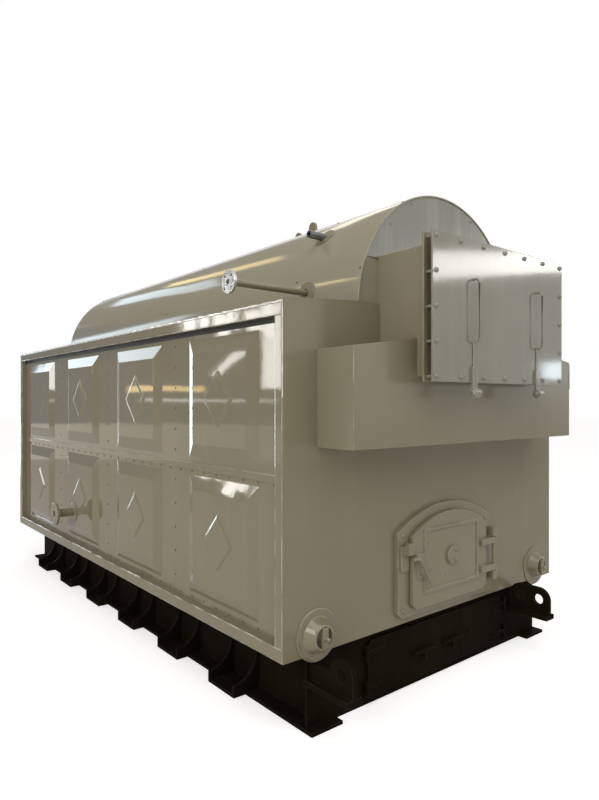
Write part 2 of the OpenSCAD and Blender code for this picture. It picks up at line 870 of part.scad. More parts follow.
module fire_door() {
  color(paint) difference() {
    union() {
      translate([0, 0, leaf_z]) along_y(y_front + leaf_face, y_front + leaf_back)
        arch_outline(leaf_w, leaf_side, leaf_arch, corner_cut);
      along_y(y_front + leaf_face - border_raise, y_front + leaf_face) difference() {
        border_outline(0);
        border_outline(plate_border);
      }
      for (z = strap_tops) {
        box(plate_w / 2 + plate_border, pin_x, y_front + leaf_face - strap_t, y_front + leaf_face, z, z + strap_h);
        rod_z(pin_x, y_front + pin_y, z, z + strap_h, knuckle_r);
      }
    }
    for (z = strap_tops)
      rod_z(pin_x, y_front + pin_y, z - past, z + strap_h + past, pin_r + pin_clear);
  }
}

module fire_door_damper() {
  color(paint) rod_y(0, y_front + leaf_face - damper_t, y_front + leaf_face, plate_z + plate_h / 2, damper_r);
}

// a lever latch: boss, tongue, short arm and a grip that hangs down
module fire_door_latch() {
  boss_head = 6;
  arm = 64;
  arm_fall = 22;
  grip_run = 66;
  grip_fall = 138;
  elbow = [latch_x + arm, latch_z - arm_fall];
  grip = elbow + [grip_run, -grip_fall];
  front = y_front + latch_front - tongue_t;
  y = front + tongue_t / 2;
  slope = atan2(grip_run, grip_fall);
  color(paint) {
    rod_y(latch_x, front - boss_head, y_front + leaf_face, latch_z, latch_boss_r);
    box(latch_x - tongue_reach, latch_x, front, front + tongue_t,
        latch_z - tongue_h / 2, latch_z + tongue_h / 2);
    box(latch_x, elbow[0], front, front + tongue_t, elbow[1] - tongue_h / 3, latch_z + tongue_h / 3);
    translate([elbow[0], y, elbow[1]]) sphere(lever_r * 1.6);
    translate([elbow[0], y, elbow[1]]) rotate([0, 180 - slope, 0])
      cylinder(h = norm([grip_run, grip_fall]), r = lever_r);
    translate([grip[0], y, grip[1]]) sphere(lever_r * 1.3);
  }
}

module fire_door_keeper() {
  x = -frame_w / 2;
  block_w = 32;
  block_h = 48;
  below = 0.62;
  color(paint) {
    box(x, x + keeper_w, y_front - frame_t - keeper_t, y_front - frame_t,
        latch_z - keeper_h * below, latch_z + keeper_h * (1 - below));
    box(x + keeper_w - block_w, x + keeper_w, y_front + latch_front + end_play, y_front - frame_t - keeper_t,
        latch_z - block_h / 2, latch_z + block_h / 2);
  }
}

// an I-section rail on the right-hand side, with the lower flange run on as a toe
module base_rail() {
  difference() {
    union() {
      translate([rail_x, 0, 0]) along_y(front_plate_y + plate_t, y_rear + heel) {
        translate([-rail_w / 2, 0]) square([rail_w, flange_t]);
        translate([-web_t / 2, 0]) square([web_t, base_h]);
        translate([-rail_w / 2, base_h - flange_t]) square([rail_w, flange_t]);
      }
      box(rail_x - rail_w / 2, rail_x + rail_w / 2, y_front - toe, front_plate_y + plate_t, 0, flange_t);
    }
    for (end = [-1, 1])
      rod_z(rail_x - rail_w / 4 - web_t / 4, end * anchor_pitch / 2, -past, flange_t + past, anchor_r);
  }
}

module base_rail_left() {
  color(black) mirror([1, 0, 0]) base_rail();
}

module base_rail_right() {
  color(black) base_rail();
}

// one outrigger foot on the right-hand rail: a sole plate and two gussets with hollow edges
module rail_foot() {
  outer = base_w / 2 + foot_reach;
  inner = rail_x + web_t / 2;
  edge = 18;
  arc_r = min(outer - inner, gusset_h) - edge;
  box(base_w / 2, outer, -foot_len / 2, foot_len / 2, 0, flange_t);
  for (end = [-1, 1])
    along_y(end * (foot_len - gusset_t) / 2 - gusset_t / 2, end * (foot_len - gusset_t) / 2 + gusset_t / 2)
      difference() {
        translate([inner, flange_t]) square([outer - inner, gusset_h]);
        translate([outer, flange_t + gusset_h]) circle(arc_r);
      }
}

module rail_feet() {
  color(black) both_sides() for (i = [0:foot_count - 1])
    translate([0, y_front + foot_first + i * foot_pitch, 0]) rail_foot();
}

module ash_pit_floor() {
  color(black) box(-rail_in, rail_in, front_plate_y, y_rear, 0, flange_t);
}

module base_front_left() {
  color(black) box(-front_plate_w / 2, -ash_open_x, front_plate_y, front_plate_y + plate_t, flange_t, base_h);
}

module base_front_right() {
  color(black) box(ash_open_x, front_plate_w / 2, front_plate_y, front_plate_y + plate_t, flange_t, base_h);
}

module base_front_lintel() {
  color(black) box(-ash_open_x, ash_open_x, front_plate_y, front_plate_y + plate_t, ash_top - ash_lap, base_h);
}

module base_rear_plate() {
  color(black) box(-rail_in, rail_in, y_rear - plate_t, y_rear, flange_t, base_h);
}

// a towing lug in front of the base: an eye plate on a shelf, and a web back to the base's front plate
module tow_lug(x, eyes, web_top) {
  low = shelf_z + shelf_t;
  head_y = y_front - lug_reach + lug_head_r;
  tail_y = head_y + (eyes - 1) * lug_eye_pitch;
  eye_z = low + lug_eye_rise;
  color(black) difference() {
    union() {
      along_x(x - lug_t / 2, x + lug_t / 2) {
        for (i = [0:eyes - 1])
          translate([head_y + i * lug_eye_pitch, eye_z]) circle(lug_head_r);
        if (eyes > 1) translate([head_y, low]) square([tail_y - head_y, eye_z + lug_head_r - low]);
        translate([head_y - lug_head_r, low]) square([tail_y - head_y + 2 * lug_head_r, eye_z - low]);
        translate([tail_y, low]) square([front_plate_y - tail_y, web_top - low]);
      }
      box(x - shelf_w / 2, x + shelf_w / 2, head_y - lug_head_r, front_plate_y, shelf_z, low);
    }
    for (i = [0:eyes - 1])
      rod_x(x - lug_t, x + lug_t, head_y + i * lug_eye_pitch, eye_z, lug_eye_r);
  }
}

// the left lug's web passes under the header's cover ring
module tow_lug_left() {
  tow_lug(-lug_left, 1, base_h + header_rise - ring_r - lug_clear);
}

module tow_lug_right() {
  tow_lug(lug_right, 2, base_h - lug_clear);
}

// fixed knuckles and pins of the ash doors' hinges
module ash_hinges() {
  color(black) both_sides() for (k = [0, 1]) {
    z = ash_hinge_z + k * ash_hinge_gap - ash_hinge_h / 2;
    rod_z(ash_pin_x, ash_pin_y, z, z + ash_hinge_h, ash_pin_r);
    for (low = [z, z + 2 * ash_third]) {
      rod_z(ash_pin_x, ash_pin_y, low, low + ash_third, ash_knuckle_r);
      box(ash_pin_x, ash_pin_x + ash_knuckle_r, ash_pin_y, front_plate_y, low, low + ash_third);
    }
  }
}

// an ash door leaf from x0 to its hinge side on the right, with strap hinges
module ash_leaf(x0) {
  strap_len = 110;
  difference() {
    union() {
      along_y(ash_face, ash_back) difference() {
        translate([x0, ash_foot]) square([ash_x - x0, ash_h]);
        difference() {
          translate([ash_x - ash_corner, ash_top - ash_corner]) square(ash_corner + past);
          translate([ash_x - ash_corner, ash_top - ash_corner]) circle(ash_corner);
        }
      }
      for (k = [0, 1]) {
        z = ash_hinge_z + k * ash_hinge_gap - ash_third / 2 + ash_play;
        box(ash_x - strap_len, ash_pin_x, ash_face - ash_strap_t, ash_face, z, z + ash_third - 2 * ash_play);
        rod_z(ash_pin_x, ash_pin_y, z, z + ash_third - 2 * ash_play, ash_knuckle_r);
      }
    }
    rod_z(ash_pin_x, ash_pin_y, 0, base_h, ash_pin_r + pin_clear);
  }
}

module ash_door_left() {
  color(black) mirror([1, 0, 0]) ash_leaf(-ash_meet + ash_gap / 2);
}

module ash_door_right() {
  stud_in = 56;
  stud_len = 22;
  color(black) {
    ash_leaf(ash_meet + ash_gap / 2);
    rod_y(ash_meet + stud_in, ash_face - stud_len, ash_face, ash_foot + ash_h / 2, ash_boss_r);
  }
}

// two lever latches on the left ash door, each with a hook that hangs from its middle
module ash_latches() {
  lever = 170;
  lever_h = 14;
  thick = 14;
  hook_w = 12;
  hook_h = 44;
  first = 14;
  pitch = 246;
  z = ash_foot + ash_h / 2;
  front = ash_face - 2 * thick;
  color(black) for (end = [ash_meet - first, ash_meet - first - pitch]) {
    start = end - lever + ash_boss_r;
    middle = end - lever / 2;
    rod_y(start, front, ash_face, z, ash_boss_r);
    box(start, end, front, front + thick, z - lever_h / 2, z + lever_h / 2);
    box(middle - hook_w / 2, middle + hook_w / 2, front, front + thick, z - hook_h, z);
  }
}

// a pipe towards the left that starts on the jacket
module jacket_pipe(y, z, end_x, r, bore) {
  difference() {
    rod_x(-end_x, -jacket_r / 3, y, z, r);
    jacket_core(seat);
    rod_x(-end_x - past, past - jacket_r / 3, y, z, bore);
  }
}

// a cover ring that lies on the jacket round a pipe
module jacket_cover(y, z, r) {
  lean = asin((z - axis_z) / jacket_r);
  sink = 12;
  difference() {
    translate([0, y, axis_z]) rotate([0, lean, 0])
      rod_x(-jacket_r - cover_t, sink - jacket_r, 0, 0, r + cover_w);
    jacket_core(seat);
    rod_x(-casing_w, 0, y, z, r + seat);
  }
}

module flange_disc(x0, x1, y, z, r, bore, pcd) {
  difference() {
    rod_x(x0, x1, y, z, r);
    rod_x(x0 - past, x1 + past, y, z, bore);
    for (i = [0:3])
      rod_x(x0 - past, x1 + past, y + pcd / 2 * cos(45 + 90 * i), z + pcd / 2 * sin(45 + 90 * i), bolt_r);
  }
}

module feed_pipe() {
  y = y_front + feed_y;
  z = axis_z + feed_rise;
  color(paint) {
    jacket_pipe(y, z, feed_reach, feed_r, feed_bore_r);
    flange_disc(-feed_reach, -feed_reach + pipe_flange_t, y, z, feed_flange_r, feed_bore_r, feed_pcd);
  }
}

module feed_cover() {
  color(bright) {
    jacket_cover(y_front + feed_y, axis_z + feed_rise, feed_r);
    jacket_cover(y_front + vent_y, axis_z + vent_rise, vent_r);
  }
}

module vent_stub() {
  color(iron) jacket_pipe(y_front + vent_y, axis_z + vent_rise, vent_reach, vent_r, vent_bore_r);
}

module drain_stubs() {
  y = panel_y(floor(panel_count / 2)) + drain_back;
  z = seam_z - row_h / 2 - drain_drop;
  end = panel_x + drain_reach;
  color(paint) both_sides() {
    difference() {
      union() {
        rod_x(panel_x, end, y, z, drain_r);
        rod_x(panel_x, panel_x + cover_t, y, z, drain_r + cover_w);
      }
      rod_x(panel_x - past, end + past, y, z, drain_bore_r);
    }
    flange_disc(end - pipe_flange_t, end, y, z, drain_flange_r, drain_bore_r, drain_pcd);
  }
}

module flue_outlet() {
  z = base_h + flue_rise;
  half_w = flue_w / 2 + flue_t;
  half_h = flue_h / 2 + flue_t;
  color(paint) difference() {
    union() {
      box(-half_w, half_w, y_rear, y_rear + flue_len, z - half_h, z + half_h);
      box(-half_w - flue_flange, half_w + flue_flange, y_rear + flue_len - flue_t, y_rear + flue_len,
          z - half_h - flue_flange, z + half_h + flue_flange);
    }
    box(-flue_w / 2, flue_w / 2, y_rear - past, y_rear + flue_len + past, z - flue_h / 2, z + flue_h / 2);
    for (sx = [-1, 1], sz = [-1, 1])
      rod_y(sx * (half_w + flue_flange / 2), y_rear + flue_len - flue_t - past, y_rear + flue_len + past,
            z + sz * (half_h + flue_flange / 2), bolt_r);
  }
}

module crown_lug() {
  foot = 6;
  eye_rise = 30;
  rim = 14;
  y = y_front + crown_y;
  top = axis_z + jacket_r;
  color(paint) difference() {
    along_x(-crown_t / 2, crown_t / 2) difference() {
      union() {
        translate([y - crown_w / 2, top - foot]) square([crown_w, foot + eye_rise]);
        translate([y, top + eye_rise]) circle(crown_eye_r + rim);
      }
      translate([y, top + eye_rise]) circle(crown_eye_r);
    }
    jacket_core(seat);
  }
}

base_rail_left();
base_rail_right();
rail_feet();
ash_pit_floor();
base_front_left();
base_front_right();
base_front_lintel();
base_rear_plate();
tow_lug_left();
tow_lug_right();
front_wall_left();
front_wall_right();
front_wall_over();
front_wall_sill();
rear_wall();
furnace_linings();
bridge_wall();
grate();
casing_rails();
casing_posts();
side_upper_sheets();
side_lower_sheets();
top_decks();
drum();
drum_jacket();
jacket_end_front();
arch_plate();
jacket_end_rear();
lower_smoke_box();
smoke_box();
smoke_box_flange();
smoke_door_packing();
smoke_door();
smoke_door_studs();
smoke_door_handles();
smoke_door_clamps();
header_ends();
header_yokes();
fire_door_frame();
fire_door_pin();
fire_door_keeper();
fire_door();
fire_door_damper();
fire_door_latch();
ash_hinges();
ash_door_left();
ash_door_right();
ash_latches();
feed_pipe();
feed_cover();
vent_stub();
drain_stubs();
flue_outlet();
crown_lug();
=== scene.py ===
# %% [markdown]
# Hand-fired boiler: the looks.
# The solids of the boiler come in as a fixed frame, in metres, with +Z up and the firing front
# towards -Y. This lesson only adds what solids leave out: paint, brick, bolts, rivets, welds, lamps
# and a camera. Nothing here moves or reshapes a solid.

# %% Load the solids
import math
import bpy
import bmesh
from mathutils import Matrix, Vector


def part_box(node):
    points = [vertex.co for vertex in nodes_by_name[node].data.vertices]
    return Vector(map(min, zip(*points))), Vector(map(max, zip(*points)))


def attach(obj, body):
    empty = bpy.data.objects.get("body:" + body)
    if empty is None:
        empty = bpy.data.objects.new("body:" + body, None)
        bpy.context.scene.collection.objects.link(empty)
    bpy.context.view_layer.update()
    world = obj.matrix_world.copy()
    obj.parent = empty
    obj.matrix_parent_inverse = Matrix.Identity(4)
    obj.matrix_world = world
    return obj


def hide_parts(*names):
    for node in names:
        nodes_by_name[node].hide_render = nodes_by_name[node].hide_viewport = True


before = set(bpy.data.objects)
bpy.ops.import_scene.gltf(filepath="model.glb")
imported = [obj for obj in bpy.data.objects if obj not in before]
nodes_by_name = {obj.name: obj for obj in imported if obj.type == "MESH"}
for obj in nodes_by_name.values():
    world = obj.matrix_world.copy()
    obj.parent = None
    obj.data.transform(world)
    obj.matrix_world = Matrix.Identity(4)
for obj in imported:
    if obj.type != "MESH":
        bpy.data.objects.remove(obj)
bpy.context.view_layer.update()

scene = bpy.context.scene

# %% [markdown]
# The camera stands where the photographer stood, at eye height and about two and a half metres from
# the near corner. A level camera keeps the upright edges upright. The lens is wide, so the near
# corner looms and the long side runs away quickly.

# %% Camera
eye = Vector((-2.757, -4.134, 1.50))
sight = Vector((0.635, 0.773, 0.0)).normalized()
camera_data = bpy.data.cameras.new("eye_level_camera")
camera_data.lens = 27.4
camera_data.sensor_width = 36.0
camera_data.shift_y = 0.0025
camera = bpy.data.objects.new("eye_level_camera", camera_data)
camera.location = eye
camera.rotation_euler = sight.to_track_quat("-Z", "Y").to_euler()
scene.collection.objects.link(camera)
scene.camera = camera
print("camera at", [round(v, 2) for v in eye], "lens", camera_data.lens)

# %% [markdown]
# A plain studio: the sky lights the boiler evenly, and the camera and the glossy paint see it as
# white. The Light Path node tells those rays apart. Standard view transform keeps colours as written.

# %% Sky and view
scene.view_settings.view_transform = "Standard"
world = bpy.data.worlds.new("studio_sky")
scene.world = world
world.use_nodes = True
sky = world.node_tree
sky.nodes.clear()
rays = sky.nodes.new("ShaderNodeLightPath")
seen = sky.nodes.new("ShaderNodeMath")
seen.operation = "MAXIMUM"
seen_all = sky.nodes.new("ShaderNodeMath")
seen_all.operation = "MAXIMUM"
lit = sky.nodes.new("ShaderNodeBackground")
lit.inputs["Color"].default_value = (1.0, 0.985, 0.95, 1)
lit.inputs["Strength"].default_value = 0.52
white = sky.nodes.new("ShaderNodeBackground")
white.inputs["Color"].default_value = (1, 1, 1, 1)
white.inputs["Strength"].default_value = 1.0
pick = sky.nodes.new("ShaderNodeMixShader")
sky_out = sky.nodes.new("ShaderNodeOutputWorld")
sky.links.new(rays.outputs["Is Camera Ray"], seen.inputs[0])
sky.links.new(rays.outputs["Is Glossy Ray"], seen.inputs[1])
sky.links.new(seen.outputs[0], seen_all.inputs[0])
sky.links.new(rays.outputs["Is Transmission Ray"], seen_all.inputs[1])
sky.links.new(seen_all.outputs[0], pick.inputs[0])
sky.links.new(lit.outputs[0], pick.inputs[1])
sky.links.new(white.outputs[0], pick.inputs[2])
sky.links.new(pick.outputs[0], sky_out.inputs[0])
print("sky strength", lit.inputs["Strength"].default_value)

# %% [markdown]
# The floor is a pale sheet that takes the boiler's shadow. For the camera alone it glows a little, so
# that it runs into the white background without a seam.

# %% Floor
floor_mesh = bpy.data.meshes.new("studio_floor")
floor_mesh.from_pydata([(-60, -60, 0), (60, -60, 0), (60, 60, 0), (-60, 60, 0)], [], [(0, 1, 2, 3)])
floor = bpy.data.objects.new("studio_floor", floor_mesh)
floor.location.z = -0.001
scene.collection.objects.link(floor)
floor_mat = bpy.data.materials.new("pale_floor")
floor_mat.use_nodes = True
floor_tree = floor_mat.node_tree
floor_bsdf = floor_tree.nodes["Principled BSDF"]
floor_bsdf.inputs["Base Color"].default_value = (0.86, 0.86, 0.86, 1)
floor_bsdf.inputs["Roughness"].default_value = 0.8
floor_bsdf.inputs["Specular IOR Level"].default_value = 0.1
floor_bsdf.inputs["Emission Color"].default_value = (1, 1, 1, 1)
floor_rays = floor_tree.nodes.new("ShaderNodeLightPath")
floor_glow = floor_tree.nodes.new("ShaderNodeMath")
floor_glow.operation = "MULTIPLY"
floor_glow.inputs[1].default_value = 0.50
floor_tree.links.new(floor_rays.outputs["Is Camera Ray"], floor_glow.inputs[0])
floor_tree.links.new(floor_glow.outputs[0], floor_bsdf.inputs["Emission Strength"])
floor_mesh.materials.append(floor_mat)
print("floor", [round(v) for v in floor.dimensions])

# %% [markdown]
# Three big flat lamps give the soft light of a shop: an open door, a fill and the roof. A lamp's power
# is its brightness times pi times its area, so the numbers below can be read as brightness.

# %% Lamps
def panel_lamp(name, place, target, width, height, brightness, colour):
    data = bpy.data.lights.new(name, "AREA")
    data.shape = "RECTANGLE"
    data.size, data.size_y = width, height
    data.energy = brightness * math.pi * width * height
    data.color = colour
    lamp = bpy.data.objects.new(name, data)
    lamp.location = place
    lamp.rotation_euler = (Vector(target) - Vector(place)).to_track_quat("-Z", "Y").to_euler()
    scene.collection.objects.link(lamp)
    return lamp

panel_lamp("soft_key", (-10.5, -4.5, 6.5), (-0.5, -1, 1.2), 6, 5, 4.6, (1, 0.97, 0.93))
panel_lamp("soft_fill", (4.5, -9.5, 7.0), (0, -1, 1), 5, 5, 1.3, (0.97, 0.98, 1))
panel_lamp("roof_panel", (-2.5, -5.5, 9.0), (-0.5, -1.5, 1.2), 8, 6, 1.5, (1, 0.99, 0.96))

# %% [markdown]
# Glossy enamel looks like whatever stands round it. These staged cards are the shop that the paint
# mirrors: a dark wall, lit windows and roof lights. Only glossy rays meet them, so they add no light to
# the boiler and cast no shadow. Each card is a strip between a low line and a high line.

# %% The shop in the mirror
def card_finish(name, colour, glow):
    mat = bpy.data.materials.new(name)
    mat.use_nodes = True
    bsdf = mat.node_tree.nodes["Principled BSDF"]
    bsdf.inputs["Base Color"].default_value = (0, 0, 0, 1)
    bsdf.inputs["Roughness"].default_value = 1.0
    bsdf.inputs["Specular IOR Level"].default_value = 0.0
    bsdf.inputs["Emission Color"].default_value = (*colour, 1)
    bsdf.inputs["Emission Strength"].default_value = glow
    return mat

def mirror_card(name, low_line, high_line, colour, glow):
    verts = list(low_line) + list(high_line)
    n = len(low_line)
    faces = [(i, i + 1, n + i + 1, n + i) for i in range(n - 1)]
    mesh = bpy.data.meshes.new(name)
    mesh.from_pydata(verts, [], faces)
    mesh.materials.append(card_finish(name, colour, glow))
    card = bpy.data.objects.new(name, mesh)
    card.visible_camera = card.visible_diffuse = card.visible_shadow = False
    card.visible_transmission = card.visible_volume_scatter = False
    scene.collection.objects.link(card)
    return card

def upright(line, low, high):
    return [(x, y, low) for x, y in line], [(x, y, high) for x, y in line]

white_light, cool_light = (1, 0.99, 0.95), (0.80, 0.92, 1.0)
warm_light, yellow_light = (1.0, 0.72, 0.34), (1, 0.80, 0.42)
roof_line = [(-13.0, 1.5, 7.2), (-13.0, 16.0, 7.2)]
roof_width = 17.0
mirror_card("shop_roof", roof_line, [(x + roof_width, y, z) for x, y, z in roof_line], (0.84, 0.80, 0.70), 0.42)
wall_line = [(-15, -2), (-11, 5), (-8, 9), (-5, 12), (-1, 14), (5, 14.5)]
mirror_card("shop_wall", *upright(wall_line, 0.95, 6.2), (0.70, 0.80, 1.00), 0.34)
mirror_card("floor_sheen", *upright(wall_line, 0.0, 0.93), (1.0, 0.96, 0.88), 1.0)
mirror_card("rear_window", *upright([(-2.35, 8.1), (-0.7, 8.5)], 0.1, 3.0), cool_light, 7.0)
pane_tops = (3.30, 3.42, 3.28, 3.46, 3.36, 3.50)
pane_dx, pane_dy = 0.2, 0.26
for i, top in enumerate(pane_tops):
    x, y = -5.62 - pane_dx * i, 7.10 - pane_dy * i
    foot, wide = 2.90 + 0.12 * math.sin(2.3 * i), 0.75 + 0.22 * math.sin(3.7 * i)
    pane_line = [(x, y), (x - pane_dx * wide, y - pane_dy * wide)]
    mirror_card(f"high_pane_{i}", *upright(pane_line, foot, top), white_light, 11.0)
mirror_card("tall_pane", *upright([(-6.62, 5.80), (-6.92, 5.42)], 1.75, 3.5), white_light, 9.0)
mirror_card("slanted_pane", [(-6.02, 6.72, 2.05), (-6.32, 6.28, 2.50)],
            [(-6.14, 6.55, 2.08), (-6.5, 6.02, 2.55)], white_light, 8.0)
mirror_card("warm_lamp_row", *upright([(-4.95, 8.3), (-5.95, 6.8)], 1.72, 1.84), warm_light, 5.0)
mirror_card("pale_rail", *upright([(-5.1, 8.0), (-6.9, 5.55)], 1.50, 1.56), white_light, 3.0)
sky_line = [(-4.15, 7.55, 4.9), (-3.73, 8.48, 4.5), (-3.48, 9.11, 4.24),
            (-3.27, 9.73, 4.02), (-3.0, 10.6, 3.75)]
sky_half = 0.42
mirror_card("sky_strip", [(x, y, z - sky_half) for x, y, z in sky_line],
            [(x, y, z + sky_half) for x, y, z in sky_line], cool_light, 4.5)
roof_light_z = 6.5

def roof_strip(name, line, width, colour, glow):
    low = [(x - width / 2, y, roof_light_z) for x, y in line]
    mirror_card(name, low, [(x + width, y, z) for x, y, z in low], colour, glow)

roof_strip("long_roof_light", [(-0.18, 3.75), (0.05, 4.71), (0.35, 5.9), (0.62, 6.85), (1.1, 8.1)],
           0.60, yellow_light, 2.8)
roof_strip("short_roof_light", [(-5.65, 4.5), (-5.45, 5.1), (-5.3, 5.9)], 0.55, yellow_light, 8.0)
roof_strip("cool_roof_light", [(-0.95, 5.8), (-0.8, 6.9), (0.0, 8.2), (0.75, 10.8)], 1.3, cool_light, 2.4)
roof_strip("rim_roof_light", [(3.2, 2.8), (3.2, 3.6)], 2.6, (1, 0.96, 0.78), 2.4)
mirror_card("door_glare", [(6.5, -8.4, 3.86), (7.8, -7.4, 3.98), (9.3, -6.2, 4.08)],
            [(6.5, -8.4, 4.42), (7.8, -7.4, 4.42), (9.3, -6.2, 4.80)], white_light, 10.0)
mirror_card("corner_glare", *upright([(8.72, -7.02), (9.0, -6.68)], 1.95, 2.3), cool_light, 9.0)

# %% [markdown]
# Node groups hold the effects that several finishes share. A small helper makes the group and its
# named sockets, so that each effect below reads as a short recipe.

# %% Node helpers
def new_group(name, inputs, outputs):
    tree = bpy.data.node_groups.new(name, "ShaderNodeTree")
    for label, kind, value in inputs:
        socket = tree.interface.new_socket(label, in_out="INPUT", socket_type=kind)
        socket.default_value = value
    for label, kind in outputs:
        tree.interface.new_socket(label, in_out="OUTPUT", socket_type=kind)
    return tree, tree.nodes.new("NodeGroupInput"), tree.nodes.new("NodeGroupOutput")

def add_math(tree, operation, a, b=None, c=None):
    node = tree.nodes.new("ShaderNodeMath")
    node.operation = operation
    for socket, value in zip(node.inputs, (a, b, c)):
        if value is None:
            continue
        if isinstance(value, (int, float)):
            socket.default_value = value
        else:
            tree.links.new(value, socket)
    return node.outputs[0]

def add_mix(tree, factor, a, b):
    node = tree.nodes.new("ShaderNodeMix")
    node.data_type = "RGBA"
    for socket, value in zip((node.inputs[0], node.inputs[6], node.inputs[7]), (factor, a, b)):
        if isinstance(value, (int, float, tuple)):
            socket.default_value = value
        else:
            tree.links.new(value, socket)
    return node.outputs[2]

def add_noise(tree, vector, scale, detail=2.0, rough=0.5):
    node = tree.nodes.new("ShaderNodeTexNoise")
    node.inputs["Detail"].default_value = detail
    node.inputs["Roughness"].default_value = rough
    tree.links.new(vector, node.inputs["Vector"])
    if isinstance(scale, (int, float)):
        node.inputs["Scale"].default_value = scale
    else:
        tree.links.new(scale, node.inputs["Scale"])
    return node.outputs[0]

def add_range(tree, value, low, high):
    node = tree.nodes.new("ShaderNodeMapRange")
    tree.links.new(value, node.inputs[0])
    node.inputs[1].default_value = low
    node.inputs[2].default_value = high
    return node.outputs[0]

def object_place(tree):
    return tree.nodes.new("ShaderNodeTexCoord").outputs["Object"]

def add_bump(tree, bsdf, height, normal=None):
    bump = tree.nodes.new("ShaderNodeBump")
    bump.inputs["Distance"].default_value = 1.0
    tree.links.new(height, bump.inputs["Height"])
    if normal is not None:
        tree.links.new(normal, bump.inputs["Normal"])
    tree.links.new(bump.outputs[0], bsdf.inputs["Normal"])

def new_finish(name):
    mat = bpy.data.materials.new(name)
    mat.use_nodes = True
    return mat, mat.node_tree, mat.node_tree.nodes["Principled BSDF"]

print("node helpers ready")

# %% [markdown]
# Rolled sheet is never quite flat, and sprayed enamel dries with a fine dimpled skin. Both are heights:
# a slow noise that bends the reflections, and a fast one that frays their edges. One group adds the two.

# %% Effect: uneven sheet and dimpled skin
sheet_skin, gi, go = new_group(
    "uneven_sheet",
    [("Wave Size", "NodeSocketFloat", 2.2), ("Wave Depth", "NodeSocketFloat", 0.004),
     ("Skin Size", "NodeSocketFloat", 110.0), ("Skin Depth", "NodeSocketFloat", 0.00006)],
    [("Height", "NodeSocketFloat")])
place = object_place(sheet_skin)
slow = add_noise(sheet_skin, place, gi.outputs["Wave Size"], 1.0)
fast = add_noise(sheet_skin, place, gi.outputs["Skin Size"], 2.0)
waves = add_math(sheet_skin, "MULTIPLY", slow, gi.outputs["Wave Depth"])
skin = add_math(sheet_skin, "MULTIPLY", fast, gi.outputs["Skin Depth"])
sheet_skin.links.new(add_math(sheet_skin, "ADD", waves, skin), go.inputs["Height"])
print("group", sheet_skin.name)

# %% [markdown]
# Spray paint varies: thin cloudy patches, and faint upright runs. The group tints a base colour with
# both, and gives the roughness too, because a thin patch is also duller.

# %% Effect: sprayed colour
spray, gi, go = new_group(
    "sprayed_colour",
    [("Colour", "NodeSocketColor", (0.2, 0.18, 0.12, 1)),
     ("Thin Colour", "NodeSocketColor", (0.3, 0.28, 0.2, 1)),
     ("Cloud Amount", "NodeSocketFloat", 0.3), ("Run Amount", "NodeSocketFloat", 0.2),
     ("Gloss", "NodeSocketFloat", 0.16)],
    [("Colour", "NodeSocketColor"), ("Roughness", "NodeSocketFloat")])
place = object_place(spray)
cloud = add_range(spray, add_noise(spray, place, 1.7, 4.0, 0.6), 0.35, 0.7)
stretch = spray.nodes.new("ShaderNodeMapping")
stretch.inputs["Scale"].default_value = (14.0, 14.0, 0.7)
spray.links.new(place, stretch.inputs["Vector"])
runs = add_range(spray, add_noise(spray, stretch.outputs[0], 1.0, 3.0, 0.6), 0.45, 0.75)
share = add_math(spray, "ADD", add_math(spray, "MULTIPLY", cloud, gi.outputs["Cloud Amount"]),
                 add_math(spray, "MULTIPLY", runs, gi.outputs["Run Amount"]))
spray.links.new(add_mix(spray, share, gi.outputs["Colour"], gi.outputs["Thin Colour"]), go.inputs["Colour"])
grain = add_noise(spray, place, 38.0, 3.0, 0.6)
rough = add_math(spray, "MULTIPLY_ADD", share, 0.04, gi.outputs["Gloss"])
spray.links.new(add_math(spray, "MULTIPLY_ADD", grain, 0.03, rough), go.inputs["Roughness"])
print("group", spray.name)

# %% [markdown]
# Every folded or cut edge catches a thin line of light, because its corner is round. The Bevel node
# bends the shading normal near an edge; comparing it with the true normal gives a mask of the edges.
# The finishes use that mask to paint a paler colour on the edges as a painted highlight, broken by noise.

# %% Effect: rounded edges
edge, gi, go = new_group(
    "rounded_edge",
    [("Radius", "NodeSocketFloat", 0.005)],
    [("Mask", "NodeSocketFloat"), ("Normal", "NodeSocketVector")])
round_edge = edge.nodes.new("ShaderNodeBevel")
round_edge.samples = 4
edge.links.new(gi.outputs["Radius"], round_edge.inputs["Radius"])
true_normal = edge.nodes.new("ShaderNodeNewGeometry")
agree = edge.nodes.new("ShaderNodeVectorMath")
agree.operation = "DOT_PRODUCT"
edge.links.new(round_edge.outputs[0], agree.inputs[0])
edge.links.new(true_normal.outputs["Normal"], agree.inputs[1])
apart = add_range(edge, add_math(edge, "SUBTRACT", 1.0, agree.outputs["Value"]), 0.01, 0.12)
broken = add_range(edge, add_noise(edge, object_place(edge), 9.0, 3.0), 0.38, 0.6)
edge.links.new(add_math(edge, "MULTIPLY", apart, broken), go.inputs["Mask"])
edge.links.new(round_edge.outputs[0], go.inputs["Normal"])
print("group", edge.name)

# %% [markdown]
# Shop dust lies low: it is thick at the floor and gone by knee height. The group fades a dust colour in
# by height and breaks it with noise.

